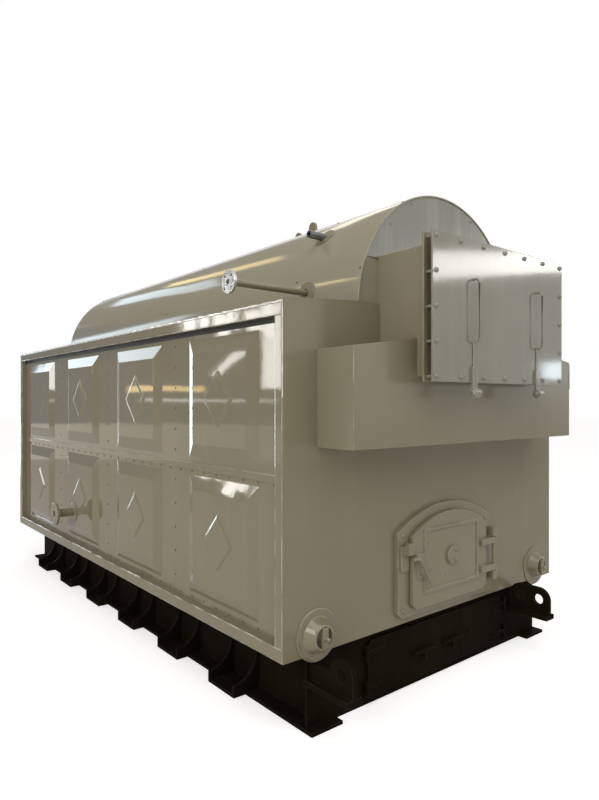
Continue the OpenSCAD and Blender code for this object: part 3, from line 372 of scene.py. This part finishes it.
# %% Effect: floor dust
dust, gi, go = new_group(
    "floor_dust",
    [("Colour", "NodeSocketColor", (0.02, 0.02, 0.02, 1)),
     ("Dust", "NodeSocketColor", (0.25, 0.23, 0.19, 1)),
     ("Amount", "NodeSocketFloat", 0.4)],
    [("Colour", "NodeSocketColor"), ("Mask", "NodeSocketFloat")])
place = object_place(dust)
split = dust.nodes.new("ShaderNodeSeparateXYZ")
dust.links.new(place, split.inputs[0])
low = add_range(dust, split.outputs["Z"], 0.40, 0.0)
patch = add_range(dust, add_noise(dust, place, 6.0, 5.0, 0.65), 0.42, 0.72)
mask = add_math(dust, "MULTIPLY", add_math(dust, "MULTIPLY", low, patch), gi.outputs["Amount"])
dust.links.new(add_mix(dust, mask, gi.outputs["Colour"], gi.outputs["Dust"]), go.inputs["Colour"])
dust.links.new(mask, go.inputs["Mask"])
print("group", dust.name)

# %% [markdown]
# A painted finish is the same wiring each time: sprayed colour, floor dust, a painted highlight on the edges
# with the rounded edge normal, and an uneven sheet, all feeding one Principled shader. The function takes the
# values that differ.

# %% Painted finishes
dust_dulling = 0.5

def use_group(tree, group, **values):
    node = tree.nodes.new("ShaderNodeGroup")
    node.node_tree = group
    for label, value in values.items():
        node.inputs[label.replace("_", " ")].default_value = value
    return node

def enamel(name, colour, thin, edge_highlight_colour, gloss, specular=0.5, cloud=0.25, runs=0.0, dusty=0.0,
           wave=0.0, skin_size=120.0, skin_depth=0.0, radius=0.004):
    mat, tree, bsdf = new_finish(name)
    bsdf.inputs["Specular IOR Level"].default_value = specular
    coat = use_group(tree, spray, Colour=(*colour, 1), Thin_Colour=(*thin, 1),
                     Cloud_Amount=cloud, Run_Amount=runs, Gloss=gloss)
    dirt = use_group(tree, dust, Amount=dusty)
    rim = use_group(tree, edge, Radius=radius)
    sheet = use_group(tree, sheet_skin, Wave_Depth=wave, Skin_Size=skin_size, Skin_Depth=skin_depth)
    tree.links.new(coat.outputs["Colour"], dirt.inputs["Colour"])
    # The edge mask mixes a paler colour onto every edge: a painted highlight.
    edge_highlight_mix = add_mix(tree, rim.outputs["Mask"], dirt.outputs["Colour"], (*edge_highlight_colour, 1))
    tree.links.new(edge_highlight_mix, bsdf.inputs["Base Color"])
    dulled = add_math(tree, "MULTIPLY_ADD", dirt.outputs["Mask"], dust_dulling, coat.outputs["Roughness"])
    tree.links.new(dulled, bsdf.inputs["Roughness"])
    add_bump(tree, bsdf, sheet.outputs["Height"], rim.outputs["Normal"])
    return mat

# The paler edge colours below are painted highlights on the edges.
olive, thin_olive, edge_highlight_olive = (0.205, 0.180, 0.115), (0.26, 0.235, 0.165), (0.46, 0.44, 0.36)
edge_highlight_grey = (0.5, 0.48, 0.42)
casing_paint = enamel("casing_enamel", olive, thin_olive, edge_highlight_olive, 0.03, cloud=0.22, runs=0.15, dusty=0.15,
                      wave=0.0016, skin_size=26.0, skin_depth=0.00010, radius=0.006)
# Near-white paint for the pale lines on the trim: painted highlights.
glint_line_paint = enamel("glint_line_enamel", (0.80, 0.79, 0.76), (0.60, 0.59, 0.55), (0.85, 0.84, 0.8), 0.08,
                    cloud=0.5, runs=0.5, radius=0.001)
# The trim's edges get a near-white colour through the edge mask: a painted highlight along the rails.
trim_paint = enamel("trim_enamel", olive, thin_olive, (0.80, 0.79, 0.74), 0.03, cloud=0.22, runs=0.15,
                    dusty=0.15, wave=0.0016, skin_size=26.0, skin_depth=0.00010, radius=0.011)
wall_paint = enamel("wall_enamel", olive, thin_olive, edge_highlight_olive, 0.17, specular=0.45, cloud=0.30, runs=0.12,
                    dusty=0.15, wave=0.0012, skin_depth=0.00003, radius=0.0)
box_paint = enamel("smoke_box_enamel", (0.215, 0.192, 0.128), thin_olive, edge_highlight_olive, 0.20, specular=0.45,
                   cloud=0.30, runs=0.15, wave=0.0012, skin_depth=0.00003, radius=0.005)
jacket_paint = enamel("jacket_enamel", (0.265, 0.243, 0.176), (0.32, 0.30, 0.23), edge_highlight_olive, 0.09,
                      runs=0.1, wave=0.0006, skin_size=90.0, skin_depth=0.00003)
door_paint = enamel("door_enamel", (0.200, 0.190, 0.145), (0.28, 0.265, 0.22), edge_highlight_grey, 0.06, specular=0.55,
                    cloud=0.30, runs=0.2, wave=0.0006, skin_size=45.0, skin_depth=0.00007)
# Rivet heads are painted darker than the sheet: painted shade.
rivet_shade_paint = enamel("rivet_painted_shade_enamel", (0.10, 0.088, 0.058), (0.14, 0.125, 0.085), edge_highlight_olive, 0.12,
                     cloud=0.3, radius=0.001)
arch_paint = enamel("arch_satin", (0.20, 0.198, 0.155), (0.32, 0.32, 0.27), edge_highlight_grey, 0.22,
                    runs=0.5, wave=0.002, skin_size=90.0, skin_depth=0.00004)
base_paint = enamel("base_enamel", (0.0095, 0.0070, 0.0042), (0.017, 0.0125, 0.0080), (0.05, 0.046, 0.038),
                    0.34, specular=0.004, cloud=0.5, runs=0.3, wave=0.002, skin_depth=0.00004)
print("painted finishes:", [m.name for m in bpy.data.materials if m.name.endswith("_enamel")])

# %% [markdown]
# The fire chamber is brick, the grate and the drum are bare iron. They only show when a door is open,
# but they are made as carefully: the Brick Texture runs along the walls, with smoky stains in patches.

# %% Brick and iron
def firebrick():
    mat, tree, bsdf = new_finish("firebrick")
    place = object_place(tree)
    split = tree.nodes.new("ShaderNodeSeparateXYZ")
    tree.links.new(place, split.inputs[0])
    along = add_math(tree, "ADD", split.outputs["X"], split.outputs["Y"])
    flat = tree.nodes.new("ShaderNodeCombineXYZ")
    tree.links.new(along, flat.inputs["X"])
    tree.links.new(split.outputs["Z"], flat.inputs["Y"])
    brick = tree.nodes.new("ShaderNodeTexBrick")
    brick.inputs["Color1"].default_value = (0.42, 0.27, 0.16, 1)
    brick.inputs["Color2"].default_value = (0.52, 0.38, 0.24, 1)
    brick.inputs["Mortar"].default_value = (0.30, 0.26, 0.22, 1)
    brick.inputs["Scale"].default_value = 1.0
    brick.inputs["Brick Width"].default_value = 0.23
    brick.inputs["Row Height"].default_value = 0.068
    brick.inputs["Mortar Size"].default_value = 0.004
    tree.links.new(flat.outputs[0], brick.inputs["Vector"])
    soot = add_range(tree, add_noise(tree, place, 2.5, 5.0, 0.6), 0.35, 0.75)
    sooty = add_mix(tree, soot, brick.outputs["Color"], (0.05, 0.04, 0.035, 1))
    tree.links.new(sooty, bsdf.inputs["Base Color"])
    bsdf.inputs["Roughness"].default_value = 0.9
    grain_depth, joint_depth = 0.002, -0.003
    joints = add_math(tree, "MULTIPLY", brick.outputs["Fac"], joint_depth)
    grain = add_noise(tree, place, 90.0, 4.0, 0.7)
    add_bump(tree, bsdf, add_math(tree, "MULTIPLY_ADD", grain, grain_depth, joints))
    return mat

def bare_iron(name, dark, light, metal, rough_low, rough_high, radius):
    mat, tree, bsdf = new_finish(name)
    place = object_place(tree)
    patch = add_range(tree, add_noise(tree, place, 24.0, 5.0, 0.65), 0.3, 0.75)
    rim = use_group(tree, edge, Radius=radius)
    skin = add_mix(tree, patch, (*dark, 1), (*light, 1))
    # Iron edges are painted paler through the edge mask: a painted highlight on the edges.
    bright = (*[min(1, 2.2 * v) for v in light], 1)
    tree.links.new(add_mix(tree, rim.outputs["Mask"], skin, bright), bsdf.inputs["Base Color"])
    bsdf.inputs["Metallic"].default_value = metal
    dull = add_math(tree, "MULTIPLY_ADD", patch, rough_high - rough_low, rough_low)
    tree.links.new(dull, bsdf.inputs["Roughness"])
    grain_depth = 0.0003
    grain = add_math(tree, "MULTIPLY", add_noise(tree, place, 220.0, 3.0), grain_depth)
    add_bump(tree, bsdf, grain, rim.outputs["Normal"])
    return mat

brick_face = firebrick()
dark_iron = bare_iron("dark_iron", (0.022, 0.022, 0.024), (0.06, 0.055, 0.05), 0.3, 0.45, 0.75, 0.002)
machined = bare_iron("machined_steel", (0.46, 0.45, 0.43), (0.62, 0.61, 0.58), 0.85, 0.22, 0.4, 0.001)
grey_pipe = bare_iron("grey_pipe", (0.10, 0.10, 0.098), (0.22, 0.22, 0.21), 0.5, 0.3, 0.5, 0.001)
print("brick and iron ready")

# %% [markdown]
# Each solid takes one finish. The list goes by names, so a new solid is never left grey: whatever is
# not named otherwise is casing.

# %% Finish the solids
def finish_for(name):
    if name.startswith(("base_", "rail_", "ash_", "tow_")):
        return base_paint
    if name in ("furnace_linings", "bridge_wall"):
        return brick_face
    # The smoke door packing takes dark iron as painted shade deep in the gap behind the door; the grate and
    # drum are bare iron.
    if name in ("grate", "drum", "smoke_door_packing"):
        return dark_iron
    if name == "arch_plate":
        return arch_paint
    if name.startswith("front_wall"):
        return wall_paint
    if name in ("casing_rails", "casing_posts"):
        return trim_paint
    if name in ("lower_smoke_box", "smoke_box") or name.startswith("fire_door"):
        return box_paint
    if name == "vent_stub":
        return grey_pipe
    if name in ("drum_jacket", "jacket_end_front", "jacket_end_rear"):
        return jacket_paint
    if name.startswith("smoke_door"):
        return door_paint
    return casing_paint

for name, solid in nodes_by_name.items():
    solid.data.materials.clear()
    solid.data.materials.append(finish_for(name))
print("finished", len(nodes_by_name), "solids")

# %% [markdown]
# Bolts, rivets, nuts and screws are all turned shapes: a short outline of radius and height, spun about
# an axis and set down wherever one sits. Many go into one mesh, so a whole row is one piece. Edges
# sharper than 35 degrees stay sharp; the rest is shaded round.

# %% Turned shapes
def add_piece(name, bm, body, finish, stands_for=()):
    bmesh.ops.recalc_face_normals(bm, faces=bm.faces)
    mesh = bpy.data.meshes.new(name)
    bm.to_mesh(mesh)
    bm.free()
    for face in mesh.polygons:
        face.use_smooth = True
    mesh.set_sharp_from_angle(angle=math.radians(35))
    piece = bpy.data.objects.new(name, mesh)
    scene.collection.objects.link(piece)
    mesh.materials.append(finish)
    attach(piece, body)
    if stands_for:
        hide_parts(*stands_for)
    return piece

def join_rings(bm, rings):
    sides = len(rings[0])
    for low, high in zip(rings, rings[1:]):
        for k in range(sides):
            bm.faces.new((low[k], low[(k + 1) % sides], high[(k + 1) % sides], high[k]))
    bm.faces.new(rings[-1])
    bm.faces.new(list(reversed(rings[0])))

def add_turned(bm, outline, point, normal, sides):
    turn = Vector(normal).normalized().to_track_quat("Z", "Y").to_matrix()
    spokes = [2 * math.pi * k / sides for k in range(sides)]
    rings = []
    for r, height in outline:
        ring = [Vector((r * math.cos(a), r * math.sin(a), height)) for a in spokes]
        rings.append([bm.verts.new(Vector(point) + turn @ v) for v in ring])
    join_rings(bm, rings)

def turned_row(name, outline, spots, body, finish, sides=12):
    bm = bmesh.new()
    for point, normal in spots:
        add_turned(bm, outline, point, normal, sides)
    return add_piece(name, bm, body, finish)

def dome(radius, height, steps=4):
    quarter = [math.pi / 2 * k / steps for k in range(steps + 1)]
    return [(radius * max(math.cos(a), 0.06), height * math.sin(a)) for a in quarter]

print("turning helpers ready")

# %% [markdown]
# Bars and weld beads follow a path. The helper walks along the points, sets a ring at each and joins the
# rings; a list of radii makes the bead swell and shrink as a hand-made weld does. Plates are flat
# outlines given a thickness.

# %% Bars and plates
def add_bar(bm, path, radii, sides=10):
    path = [Vector(p) for p in path]
    spokes = [2 * math.pi * k / sides for k in range(sides)]
    rings = []
    for i, point in enumerate(path):
        ahead = (path[min(i + 1, len(path) - 1)] - path[max(i - 1, 0)]).normalized()
        turn = ahead.to_track_quat("Z", "X").to_matrix()
        r = radii[i] if isinstance(radii, (list, tuple)) else radii
        ring = [Vector((r * math.cos(a), r * math.sin(a), 0)) for a in spokes]
        rings.append([bm.verts.new(point + turn @ v) for v in ring])
    join_rings(bm, rings)

def add_plate(bm, outline, origin, across, up, thickness):
    origin, across, up = Vector(origin), Vector(across), Vector(up)
    through = across.cross(up).normalized() * thickness
    near = [bm.verts.new(origin + across * u + up * v) for u, v in outline]
    far = [bm.verts.new(v.co + through) for v in near]
    bm.faces.new(near)
    bm.faces.new(list(reversed(far)))
    for k in range(len(near)):
        bm.faces.new((near[k], far[k], far[(k + 1) % len(near)], near[(k + 1) % len(near)]))

def arc(cu, cv, radius, start, end, steps):
    turns = [math.radians(start + (end - start) * k / steps) for k in range(steps + 1)]
    return [(cu + radius * math.cos(a), cv + radius * math.sin(a)) for a in turns]

print("bar and plate helpers ready")

# %% [markdown]
# The side sheets are riveted: a row under the seam, one along the bottom trim, and upright rows between
# the panels. The heads are small, about ten millimetres, and a hand's width apart; they are painted darker
# than the sheet as painted shade.

# %% Rivets of the casing
front_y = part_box("front_wall_sill")[0].y
rear_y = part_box("rear_wall")[1].y
sheet_low, sheet_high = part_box("side_lower_sheets")[0].z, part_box("side_upper_sheets")[1].z
trim_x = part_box("casing_rails")[1].x
trim_depth, panel_pitch, rivet_pitch = 0.040, 0.985, 0.125
sheet_x = trim_x - trim_depth
seam_z = (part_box("casing_rails")[0].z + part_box("casing_rails")[1].z) / 2
upright_rows = ((sheet_low + 0.10, seam_z - 0.09, 5), (seam_z + 0.08, sheet_high - 0.07, 6))
spots = []
for side in (-1, 1):
    out = (side, 0, 0)
    y = front_y + 0.115
    while y < rear_y - 0.09:
        spots += [((side * sheet_x, y, seam_z - 0.028), out), ((side * sheet_x, y, sheet_low + 0.020), out)]
        y += rivet_pitch
    for k in (-1, 0, 1):
        for low, high, count in upright_rows:
            heights = [low + (high - low) * i / (count - 1) for i in range(count)]
            spots += [((side * sheet_x, k * panel_pitch, z), out) for z in heights]
turned_row("casing_rivets", dome(0.0065, 0.0045), spots, "boiler", rivet_shade_paint, sides=10)
print("casing rivets:", len(spots))

# %% [markdown]
# Along the top rail, down the front post and in broken lengths along the bottom rail, a thin, pale,
# crinkled line lies on the trim as a painted highlight where the trim's edges catch the light. Sines of two
# speeds swell and shrink it. Under the top rail a dark strip lies on each side sheet as painted shade of the
# rail.

# %% Painted glints and shade strips of the trim
rail_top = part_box("casing_rails")[1].z
glint_step, crinkle = 0.02, 0.0018
bottom_glint_runs = ((1.96, 1.62), (1.50, 1.18), (1.02, 0.86), (0.60, 0.22), (0.10, 0.02), (-0.42, -0.60))

def crinkled_glint_line(bm, start, end, thick, swell):
    start, end = Vector(start), Vector(end)
    count = max(2, int((end - start).length / glint_step))
    path = [start.lerp(end, k / count) for k in range(count + 1)]
    path = [p + Vector((0, 0, crinkle * math.sin(1.9 * k) * math.sin(0.31 * k))) for k, p in enumerate(path)]
    radii = [thick + swell * math.sin(1.3 * k) * math.sin(0.23 * k) for k in range(count + 1)]
    add_bar(bm, path, radii, sides=6)

# Each pale crinkled line is a painted highlight along a trim edge.
bm = bmesh.new()
for side in (-1, 1):
    x = side * (trim_x - 0.001)
    y, z = front_y + 0.004, rail_top - 0.002
    crinkled_glint_line(bm, (x, y, z), (x, rear_y - 0.004, z), 0.0060, 0.0026)
    crinkled_glint_line(bm, (x, y, 1.52), (x, y, rail_top - 0.004), 0.0030, 0.0012)
    for start, end in bottom_glint_runs:
        z = sheet_low + 0.001
        crinkled_glint_line(bm, (x, start, z), (x, end, z), 0.0034, 0.0016)
glint_lines = add_piece("trim_painted_glints", bm, "boiler", glint_line_paint)
# A thin dark plate on each side sheet, just under the top rail, is painted shade of the rail.
bm = bmesh.new()
shade_strip_top, shade_strip_height, joint_depth = sheet_high - 0.001, 0.024, 0.003
shade_strip_bottom, shade_strip_front, shade_strip_rear = shade_strip_top - shade_strip_height, front_y + 0.062, rear_y - 0.062
run = [(shade_strip_front, shade_strip_bottom), (shade_strip_rear, shade_strip_bottom), (shade_strip_rear, shade_strip_top), (shade_strip_front, shade_strip_top)]
for x in (-sheet_x - joint_depth, sheet_x):
    add_plate(bm, run, (x, 0, 0), (0, 1, 0), (0, 0, 1), joint_depth)
add_piece("under_rail_painted_shade_strips", bm, "boiler", dark_iron)
print("painted glint faces:", len(glint_lines.data.polygons))

# %% [markdown]
# The smoke box door hangs on twenty studs. In front each ends in a round head; behind the flange only the
# stud's end shows. The two long handles are bent from thin rod, with a lighter rod running down to each
# swing clamp, and a clamp is a strap with a rolled eye and a pin.

# %% Smoke box door: heads, handles and clamps
door_low, door_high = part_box("smoke_door")
flange_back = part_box("smoke_box_flange")[1].y
mid_z = (door_low.z + door_high.z) / 2
edge_gap = 0.024
half_w, half_h = door_high.x - edge_gap, (door_high.z - door_low.z) / 2 - edge_gap
stud_spots = [(half_w * (i / 3 - 1), mid_z + s * half_h) for i in range(7) for s in (-1, 1)]
stud_spots += [(s * half_w, mid_z + half_h * (i / 2 - 1)) for i in (1, 2, 3) for s in (-1, 1)]
washer = [(0.0125, 0.0), (0.0125, 0.002), (0.0110, 0.0021)]
round_head = washer + [(r, 0.0021 + h) for r, h in dome(0.0110, 0.0105)[1:]]
turned_row("smoke_door_heads", round_head, [((x, door_low.y, z), (0, -1, 0)) for x, z in stud_spots],
           "boiler", door_paint, sides=14)
turned_row("smoke_door_stud_ends", [(0.0065, 0.0), (0.0065, 0.014), (0.0045, 0.017)],
           [((x, flange_back, z), (0, 1, 0)) for x, z in stud_spots],
           "boiler", dark_iron, sides=10)

handle_x = (-0.27, 0.30)
handle_half, reach, bend = 0.150, 0.034, 0.018
y0, low, high = door_low.y, mid_z - handle_half, mid_z + handle_half
bm = bmesh.new()
for x in handle_x:
    foot = [(y0, low), (y0 - reach + bend, low)]
    bend_low = [(y0 - reach + bend + bend * math.cos(a), low + bend + bend * math.sin(a))
                for a in [math.radians(d) for d in (-110, -135, -160, -180)]]
    half = foot + bend_low
    path = half + [(y, low + high - z) for y, z in reversed(half)]
    add_bar(bm, [(x, y, z) for y, z in path], 0.0055)
    rod_x, rod_y = x - 0.004, y0 - 0.0035
    add_bar(bm, [(rod_x, rod_y, low), (rod_x, rod_y, door_low.z + 0.066)], 0.0028, sides=8)
add_piece("smoke_door_pulls", bm, "boiler", door_paint, ("smoke_door_handles",))

bm = bmesh.new()
strap = [(-0.019, -0.040), (0.019, -0.040)] + arc(0, 0.063, 0.019, 0, 180, 8)
rolled_eye = [(0.0215, 0), (0.024, 0.0025), (0.024, 0.0395), (0.0215, 0.042)]
pin_end = [(0.0145, 0), (0.0145, 0.003), (0.0105, 0.0035), (0.0105, 0.008), (0.008, 0.010)]
for x in handle_x:
    add_plate(bm, strap, (x, door_low.y - 0.012, door_low.z), (1, 0, 0), (0, 0, 1), -0.012)
    eye_end = (x - 0.021, door_low.y - 0.014, door_low.z - 0.050)
    add_turned(bm, rolled_eye, eye_end, (1, 0, 0), 24)
    add_turned(bm, pin_end, eye_end, (-1, 0, 0), 16)
add_piece("smoke_door_swing_clamps", bm, "boiler", door_paint, ("smoke_door_clamps",))
print("door studs:", len(stud_spots), "handles and clamps at x", handle_x)

# %% [markdown]
# A header is closed by a hand hole: a wide collar on the wall, a cone, a hollow mouth, and across it an
# upright yoke bar whose stem pulls the lid shut.

# %% Hand holes
hole_x, hole_z = 0.935, 0.44
cone = [(0.122, 0.0), (0.122, 0.004), (0.119, 0.007), (0.084, 0.007), (0.081, 0.012),
        (0.060, 0.052), (0.056, 0.056), (0.049, 0.056), (0.046, 0.052), (0.043, 0.016)]
bow = [(-0.014, -0.046), (0.014, -0.046), (0.017, 0), (0.014, 0.046), (-0.014, 0.046), (-0.017, 0)]
stem = [(0.011, 0), (0.011, 0.014), (0.0085, 0.0145), (0.0085, 0.022), (0.006, 0.024)]
bm_cone, bm_yoke = bmesh.new(), bmesh.new()
for x in (-hole_x, hole_x):
    add_turned(bm_cone, cone, (x, front_y, hole_z), (0, -1, 0), 40)
    add_plate(bm_yoke, bow, (x, front_y - 0.046, hole_z), (1, 0, 0), (0, 0, 1), 0.018)
    add_turned(bm_yoke, stem, (x, front_y - 0.064, hole_z), (0, -1, 0), 6)
add_piece("hand_hole_cones", bm_cone, "boiler", casing_paint, ("header_ends",))
add_piece("hand_hole_yokes", bm_yoke, "boiler", casing_paint, ("header_yokes",))
print("hand holes set on", round(front_y, 3))

# %% [markdown]
# The feed pipe ends in a loose flange with a bright, faced front. The holes are real: a Boolean modifier
# takes the bore and four bolt holes out of the turned disc, and its result becomes the mesh.

# %% Feed pipe and flange
def drilled(piece, holes, radius_of):
    bm = bmesh.new()
    for k, (point, normal) in enumerate(holes):
        r = radius_of[min(k, 1)]
        add_turned(bm, [(r, -0.03), (r, 0.03)], point, normal, 20)
    cutter_mesh = bpy.data.meshes.new("cutter")
    bm.to_mesh(cutter_mesh)
    bm.free()
    cutter = bpy.data.objects.new("cutter", cutter_mesh)
    scene.collection.objects.link(cutter)
    cut = piece.modifiers.new("holes", "BOOLEAN")
    cut.operation, cut.object, cut.solver = "DIFFERENCE", cutter, "EXACT"
    result = bpy.data.meshes.new_from_object(piece.evaluated_get(bpy.context.evaluated_depsgraph_get()))
    piece.modifiers.clear()
    piece.data = result
    bpy.data.objects.remove(cutter)
    bpy.data.meshes.remove(cutter_mesh)

pipe_low, pipe_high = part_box("feed_pipe")
pipe_y, pipe_z = (pipe_low.y + pipe_high.y) / 2, (pipe_low.z + pipe_high.z) / 2
face_x, tube_start = pipe_low.x, 0.012
tube_r, bore_r, hole_r, hole_circle = 0.0170, 0.0136, 0.0075, 0.0425
along = (1, 0, 0)
bm = bmesh.new()
tube = [(tube_r, 0.0), (tube_r, pipe_high.x - face_x - tube_start)]
add_turned(bm, tube, (face_x + tube_start, pipe_y, pipe_z), along, 24)
add_piece("feed_tube", bm, "boiler", casing_paint, ("feed_pipe",))
bm = bmesh.new()
disc = [(0.0565, 0.0), (0.0585, 0.002), (0.0585, 0.014), (0.0565, 0.016)]
add_turned(bm, disc, (face_x, pipe_y, pipe_z), along, 40)
flange = add_piece("feed_flange", bm, "boiler", machined)
ring = [(face_x, pipe_y + hole_circle * math.cos(a), pipe_z + hole_circle * math.sin(a))
        for a in [math.radians(45 + 90 * k) for k in range(4)]]
drilled(flange, [((face_x, pipe_y, pipe_z), along)] + [(p, along) for p in ring], (bore_r, hole_r))
print("flange faces:", len(flange.data.polygons))

# %% [markdown]
# Two forms that the solids keep plain are finished here. The top of the front wall falls a little towards
# its corners, so a copy of the wall is sliced by two tilted planes. The crown carries two lifting plates
# with round tops, one behind the other.

# %% Wall top and lifting plates
wall_top, fall_start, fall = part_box("front_wall_over")[1].z, 0.66, 0.029
bm = bmesh.new()
bm.from_mesh(nodes_by_name["front_wall_over"].data)
for side in (-1, 1):
    tilt = Vector((side * fall, 0, trim_x - fall_start))
    sliced = bmesh.ops.bisect_plane(bm, geom=bm.verts[:] + bm.edges[:] + bm.faces[:], clear_outer=True,
                                    plane_co=(side * fall_start, 0, wall_top), plane_no=tilt)
    rim = [e for e in sliced["geom_cut"] if isinstance(e, bmesh.types.BMEdge)]
    bmesh.ops.triangle_fill(bm, edges=rim, use_beauty=True)
add_piece("front_wall_top", bm, "boiler", wall_paint, ("front_wall_over",))
bm = bmesh.new()
crown_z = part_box("drum_jacket")[1].z - 0.004
for y, half, top in ((-0.926, 0.045, 2.747), (-0.770, 0.040, 2.708)):
    outline = [(-half, 0), (half, 0)] + arc(0, top - crown_z - half * 0.8, half * 0.8, 0, 180, 10)
    add_plate(bm, outline, (-0.008, y, crown_z), (0, 1, 0), (0, 0, 1), 0.016)
add_piece("lifting_plates", bm, "boiler", casing_paint, ("crown_lug",))

# %% [markdown]
# The fire door is held by four bolts through its frame, and its plate by small rivets. The round damper
# has two bolts on its right. These pieces ride on the door where the door carries them.

# %% Bolts of the fire door
frame_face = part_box("fire_door_frame")[1].y - 0.024
leaf_face = front_y - 0.051
damper_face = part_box("fire_door_damper")[0].y
bolt = [(0.0135, 0.0), (0.0135, 0.002)] + [(r, 0.002 + h) for r, h in dome(0.0115, 0.009)]
ahead = (0, -1, 0)
frame_spots = [((x, frame_face, z), ahead) for x in (-0.3715, 0.3454) for z in (0.815, 0.429)]
turned_row("fire_frame_bolts", bolt, frame_spots, "boiler", casing_paint, sides=14)
leaf_spots = ((-0.198, 0.760), (-0.190, 0.610), (-0.056, 0.568), (0.114, 0.589))
turned_row("fire_door_rivets", dome(0.006, 0.004), [((x, leaf_face, z), ahead) for x, z in leaf_spots],
           "fire_door", casing_paint, sides=10)
turned_row("damper_bolts", bolt, [((0.016, damper_face, z), ahead) for z in (0.696, 0.640)],
           "fire_door", casing_paint, sides=14)
print("fire door fasteners set on", round(frame_face, 3), round(leaf_face, 3))

# %% [markdown]
# The fire door shuts with a lever: a thick arm bends round into a thin grip that hangs down, and its left end
# slips under a block on the frame. The arm rides the door and the block stays, so a gap parts them.

# %% Lever and catch of the fire door
lever_x, lever_y, lever_z = -0.308, front_y - 0.078, 0.698
bm = bmesh.new()
arm = [(-0.354, 0.696), (-0.340, 0.700), (-0.322, 0.700), (-0.305, 0.694),
       (-0.291, 0.683), (-0.284, 0.670), (-0.281, 0.660)]
arm_radii = [0.0085, 0.0100, 0.0110, 0.0120, 0.0120, 0.0110, 0.0095]
add_bar(bm, [(x, lever_y, z) for x, z in arm], arm_radii, sides=14)
grip = [(-0.284, 0.668), (-0.272, 0.649), (-0.243, 0.603), (-0.213, 0.555), (-0.209, 0.549)]
add_bar(bm, [(x, lever_y, z) for x, z in grip], [0.0060, 0.0065, 0.0072, 0.0080, 0.0050], sides=12)
add_turned(bm, [(0.0150, 0.0), (0.0150, 0.030), (0.0110, 0.0305), (0.0110, 0.040), (0.0090, 0.042)],
           (lever_x, leaf_face, lever_z), ahead, 18)
add_piece("fire_door_lever", bm, "fire_door", box_paint, ("fire_door_latch",))
bm = bmesh.new()
pad_depth, block_depth = 0.010, 0.030
catch_face = frame_face - pad_depth
add_plate(bm, [(-0.395, 0.633), (-0.333, 0.633), (-0.333, 0.762), (-0.395, 0.762)], (0, frame_face, 0),
          (1, 0, 0), (0, 0, 1), pad_depth)
block = [(-0.366, 0.718), (-0.335, 0.718), (-0.333, 0.722), (-0.333, 0.772),
         (-0.338, 0.778), (-0.362, 0.778), (-0.366, 0.772)]
add_plate(bm, block, (0, catch_face, 0), (1, 0, 0), (0, 0, 1), block_depth)
add_piece("fire_door_catch", bm, "boiler", box_paint, ("fire_door_keeper",))
print("lever arm at y", round(lever_y, 3), "catch to", round(catch_face - block_depth, 3))

# %% [markdown]
# Last come the small marks of the maker: screws that hold the round jacket and its end plate, and the weld
# down the corner of the wide smoke box, laid as a row of overlapping beads.

# %% Screws and welds
axis_z, jacket_r = 1.965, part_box("drum_jacket")[1].x
screw = [(0.007, 0.0)] + [(r, h) for r, h in dome(0.006, 0.003)]
jacket_spots = []
for y in (front_y + 0.010, front_y + 0.5, 0.0, rear_y - 0.02):
    for angle in (17, 61, 119, 163):
        n = Vector((math.cos(math.radians(angle)), 0, math.sin(math.radians(angle))))
        jacket_spots.append((Vector((0, y + 0.012, axis_z)) + n * jacket_r, n))
turned_row("jacket_screws", screw, jacket_spots, "boiler", dark_iron, sides=10)
plate_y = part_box("arch_plate")[0].y
plate_spots = ((-0.264, 2.545), (-0.427, 2.409), (0.264, 2.545), (0.427, 2.409))
turned_row("arch_plate_screws", screw, [((x, plate_y, z), ahead) for x, z in plate_spots],
           "boiler", arch_paint, sides=10)
box_low, box_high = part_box("lower_smoke_box")
weld_foot, bead_step, beads = 1.58, 0.004, 38
bm = bmesh.new()
for x in (box_low.x, box_high.x):
    zs = [weld_foot + bead_step * k for k in range(beads)]
    add_bar(bm, [(x + math.copysign(0.001, -x), box_low.y + 0.001, z) for z in zs],
            [0.0045 + 0.0014 * math.sin(2.1 * k) for k in range(beads)], sides=8)
add_piece("smoke_box_welds", bm, "boiler", casing_paint)
print("screws:", len(jacket_spots) + len(plate_spots))
